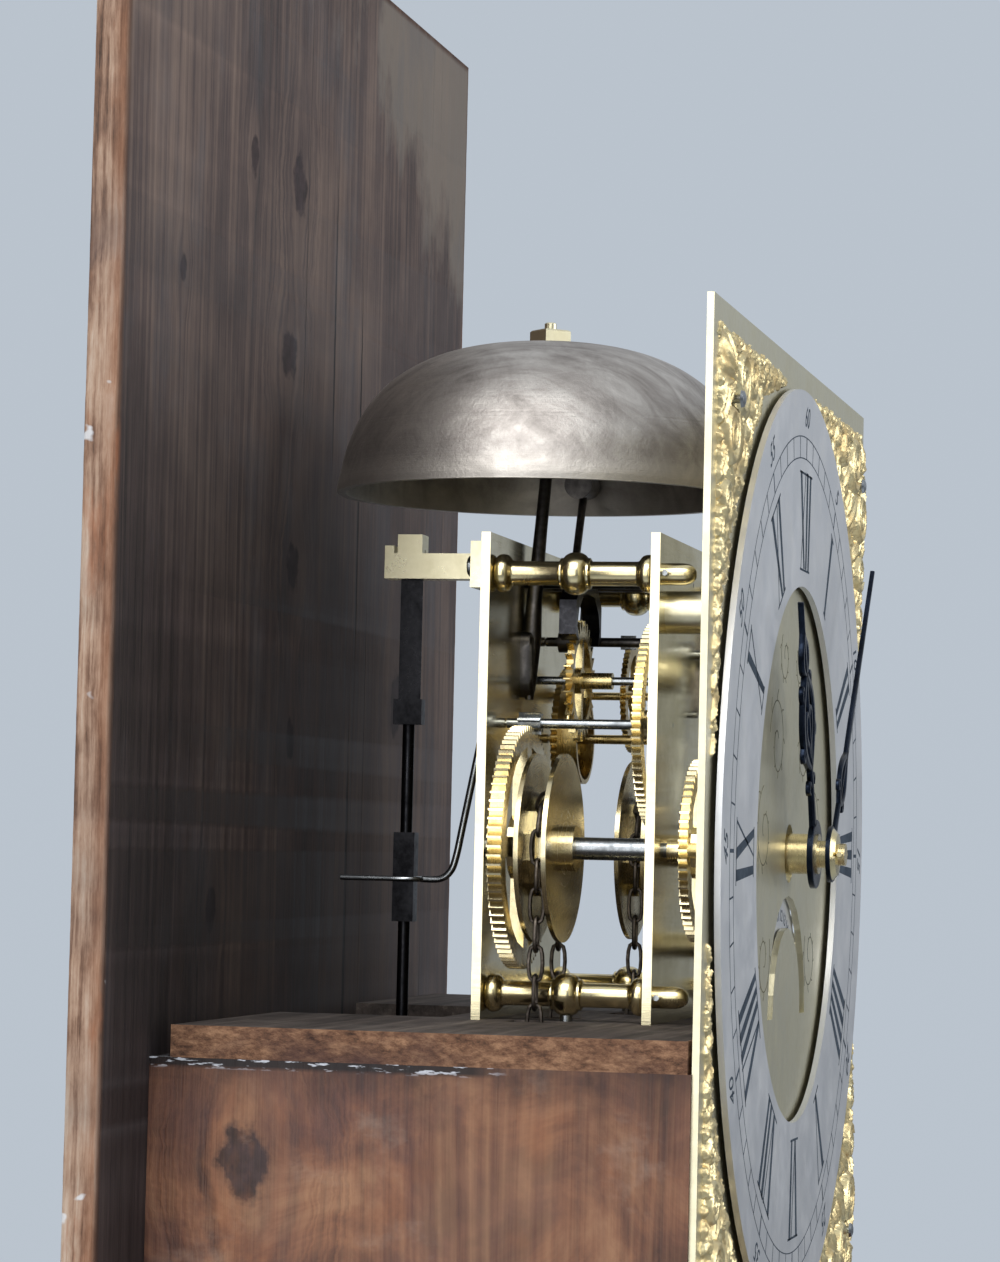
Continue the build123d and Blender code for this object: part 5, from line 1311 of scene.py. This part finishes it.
minute_turn = np.pi / 2 - 2 * np.pi * 7.0 / 60
hour_turn = np.pi / 2 - 2 * np.pi * (11.0 + 7.0 / 60) / 12
shell = Shell()
boss(shell, 6.22, 10.6, -8.8, -7.0)
for corners, widths, front, back, both in (
    ([(9.6, 0), (20, 0), (31, 0)], [4.4, 2.8, 2.4], -8.8, -7.0, False),
    (
        [(29, 0.4), (33, 4.6), (38.5, 8.6), (46, 9.8), (53, 7.2), (58, 2.6), (61, 0.4)],
        [1.6, 2.4, 2.9, 2.4, 1.5], -8.8, -7.0, True,
    ),
    (
        [(33, 0.8), (37.5, 2.2), (41.5, 5.0), (46.4, 5.2), (48.6, 2.6), (46.6, 1.2)],
        [1.3, 1.7, 1.8, 1.2], -8.7, -7.1, True,
    ),
    ([(38.5, 8.6), (36.2, 10.6), (38.2, 12.2), (40.4, 10.8)], [1.4, 1.5, 0.9], -8.6, -7.1, True),
    ([(53, 7.2), (57, 8.4), (58.6, 6.4), (56.8, 5.2)], [1.3, 1.4, 0.9], -8.6, -7.1, True),
    ([(60, 0.5), (63.4, 4.2), (67.8, 4.4), (71, 1.8), (74, 0.3)], [1.2, 1.9, 1.7, 1.0], -8.8, -7.0, True),
    ([(30, 0), (46, 0), (60, 0)], [1.8, 1.3, 2.0], -8.8, -7.0, False),
    ([(58, 0), (70, 0), (84, 0)], [2.6, 2.0, 0.9], -8.8, -7.0, False),
    ([(23, 0.6), (25.6, 3.4), (24.0, 5.2), (22.0, 4.0)], [1.4, 1.5, 0.8], -8.6, -7.1, True),
):
    strip(shell, corners, widths, front, back, hour_turn, both)
shell.piece("pierced_hour_hand", "hour_work", blued_steel, ["hour_hand"], 30)
shell = Shell()
boss(shell, 3.44, 8.6, -13.8, -12.4)
for corners, widths, front, back, both, count in (
    ([(7.6, 0), (14, 0), (23, 0)], [3.6, 2.4, 2.0], -13.8, -12.4, False, 36),
    (
        [(21, 0.4), (25, 3.6), (30, 5.2), (35.4, 4.0), (41, 1.0), (44, 0.3)],
        [1.2, 2.0, 2.0, 1.2], -13.8, -12.4, True, 36,
    ),
    ([(24.6, 3.4), (23.2, 5.2), (24.8, 6.4), (26.6, 5.4)], [1.1, 1.2, 0.7], -13.7, -12.5, True, 36),
    ([(40, 0), (60, 0), (126, 0)], [2.6, 2.9, 1.0], -13.8, -12.4, False, 60),
    ([(22, 0), (31, 0), (42, 0)], [1.4, 1.1, 2.2], -13.7, -12.5, False, 36),
):
    strip(shell, corners, widths, front, back, minute_turn, both, count)
shell.piece("slender_minute_hand", "minute_work", blued_steel, ["minute_hand"], 30)
print("hands filed")

# %% [markdown]
# ## Engraving
#
# The ring is engraved and the cuts are filled with black wax, then the brass is silvered round them. Every
# stroke here is a thin slip of wax standing a hair above the metal. The hour numerals are drawn on a flat
# strip and bent round the dial, so that their strokes narrow towards the centre as engraved ones do.

# %% Wax-filled numerals and minute circles
black_wax = dull_metal(
    "black_wax_in_the_cuts", "#333c46", "#525c67", 0.7, 0.1, 300.0, 0.00003, metallic=0.0
)
black_wax.node_tree.nodes["Principled BSDF"].inputs["Specular IOR Level"].default_value = 0.08
ring_front = -3.2


def wax(shell, outline, front=ring_front, proud=0.05):
    """A flat slip of wax with this outline in the dial's plane, a hair proud of the metal."""
    outline = np.asarray(outline, float)
    n = len(outline)
    both = [(x, y, z) for y in (front - proud, front + 0.3) for x, z in outline]
    sides = [(i, (i + 1) % n, (i + 1) % n + n, i + n) for i in range(n)]
    shell.put(both, [tuple(range(n)), tuple(range(2 * n - 1, n - 1, -1)), *sides])


def bent(points, middle):
    """Points on a flat strip, sideways and outward, laid round the dial some turns on from twelve."""
    points = np.asarray(points, float)
    angle = 2 * np.pi * middle + points[:, 0] / 103.0
    return np.stack((points[:, 1] * np.sin(angle), points[:, 1] * np.cos(angle)), -1)


low, high = 88.0, 118.0


def stem(left, width):
    """An upright stroke."""
    return [(left, low), (left + width, low), (left + width, high), (left, high)]


def slant(foot, head, width):
    """A sloping stroke from its foot to its head."""
    return [(foot, low), (foot + width, low), (head + width, high), (head, high)]


def numeral(text):
    """Strokes of a Roman numeral on the flat strip, thin lines across its head and foot, and its width."""
    strokes, at = [], 0.0
    for letter in text:
        if letter == "I":
            strokes.append(stem(at + 0.5, 2.9))
            at += 5.4
        elif letter == "V":
            strokes += [slant(at + 4.6, at + 0.4, 2.9), slant(at + 6.2, at + 10.2, 0.8)]
            at += 11.8
        else:
            strokes += [slant(at + 7.6, at + 0.4, 2.9), slant(at + 0.8, at + 9.6, 0.8)]
            at += 11.4
        width = at - 0.8
    for level in (low - 0.35, high - 0.35):
        strokes.append(
            [(-0.5, level), (width + 0.3, level), (width + 0.3, level + 0.7), (-0.5, level + 0.7)]
        )
    return strokes, width


shell = Shell()
for hour, text in enumerate(("XII", "I", "II", "III", "IIII", "V", "VI", "VII", "VIII", "IX", "X", "XI")):
    strokes, width = numeral(text)
    for stroke in strokes:
        wax(shell, bent(np.asarray(stroke) - (width / 2, 0), hour / 12))
for minute in range(60):
    wide = 0.22 if minute % 5 else 0.45
    wax(shell, bent([(-wide, 122.0), (wide, 122.0), (wide, 128.7), (-wide, 128.7)], minute / 60))
for radius in (122.0, 128.7):
    circle_line = [(ring_front - 0.05, radius - 0.17), (ring_front - 0.05, radius + 0.17)]
    circle_line += [(ring_front + 0.3, radius + 0.17), (ring_front + 0.3, radius - 0.17)]
    shell.grid(turned_grid(circle_line, (0, 0, 0), "y", 240), round_rows=True)


def lettered(shell, text, size, middle, reach, front, slope=0.35):
    """A number as flat mesh, set upright on a radius with its head outwards."""
    words = bpy.data.curves.new("number", "FONT")
    words.body = text
    words.size = size
    words.shear = slope
    words.align_x = "CENTER"
    words.resolution_u = 3
    holder = bpy.data.objects.new("number", words)
    mesh = bpy.data.meshes.new_from_object(holder)
    flat = np.array([v.co[:2] for v in mesh.vertices])
    angle = 2 * np.pi * middle
    across, out = np.array((np.cos(angle), -np.sin(angle))), np.array((np.sin(angle), np.cos(angle)))
    spread = flat[:, :1] * across + (flat[:, 1:] + reach) * out
    for polygon in mesh.polygons:
        wax(shell, spread[list(polygon.vertices)], front)
    bpy.data.objects.remove(holder)
    bpy.data.curves.remove(words)
    bpy.data.meshes.remove(mesh)


for five in range(1, 13):
    lettered(shell, str(5 * five), 9.4, five / 12, 132.0, ring_front)
shell.piece("wax_filled_numerals", "case", black_wax, (), 20)
shell = Shell()
for day in range(1, 32):
    lettered(shell, str(day), 5.2, (day - 11.5) / 31, 29.2, 2.6, 0.0)
for points in shell.points:
    points[:, 2] -= 50.0
shell.piece("date_numbers", "date_body", black_wax, (), 20)
print("engraving filled with wax")

# %% [markdown]
# ## Floor
#
# A pale plain floor catches the shadow.

# %% Floor
floor = bpy.data.meshes.new("floor")
floor.from_pydata([(-6, -6, 0), (6, -6, 0), (6, 6, 0), (-6, 6, 0)], [], [(0, 1, 2, 3)])
floor_piece = bpy.data.objects.new("floor", floor)
bpy.context.scene.collection.objects.link(floor_piece)
floor_finish, tree, shader, spot = blank("matt_pale_floor")
tree.links.new(
    ramp(tree, noise(tree, spot, 3.0, 3.0), [(0.2, "#c6cbd1"), (0.8, "#ccd1d6")]),
    shader.inputs["Base Color"],
)
shader.inputs["Roughness"].default_value = 0.9
floor.materials.append(floor_finish)
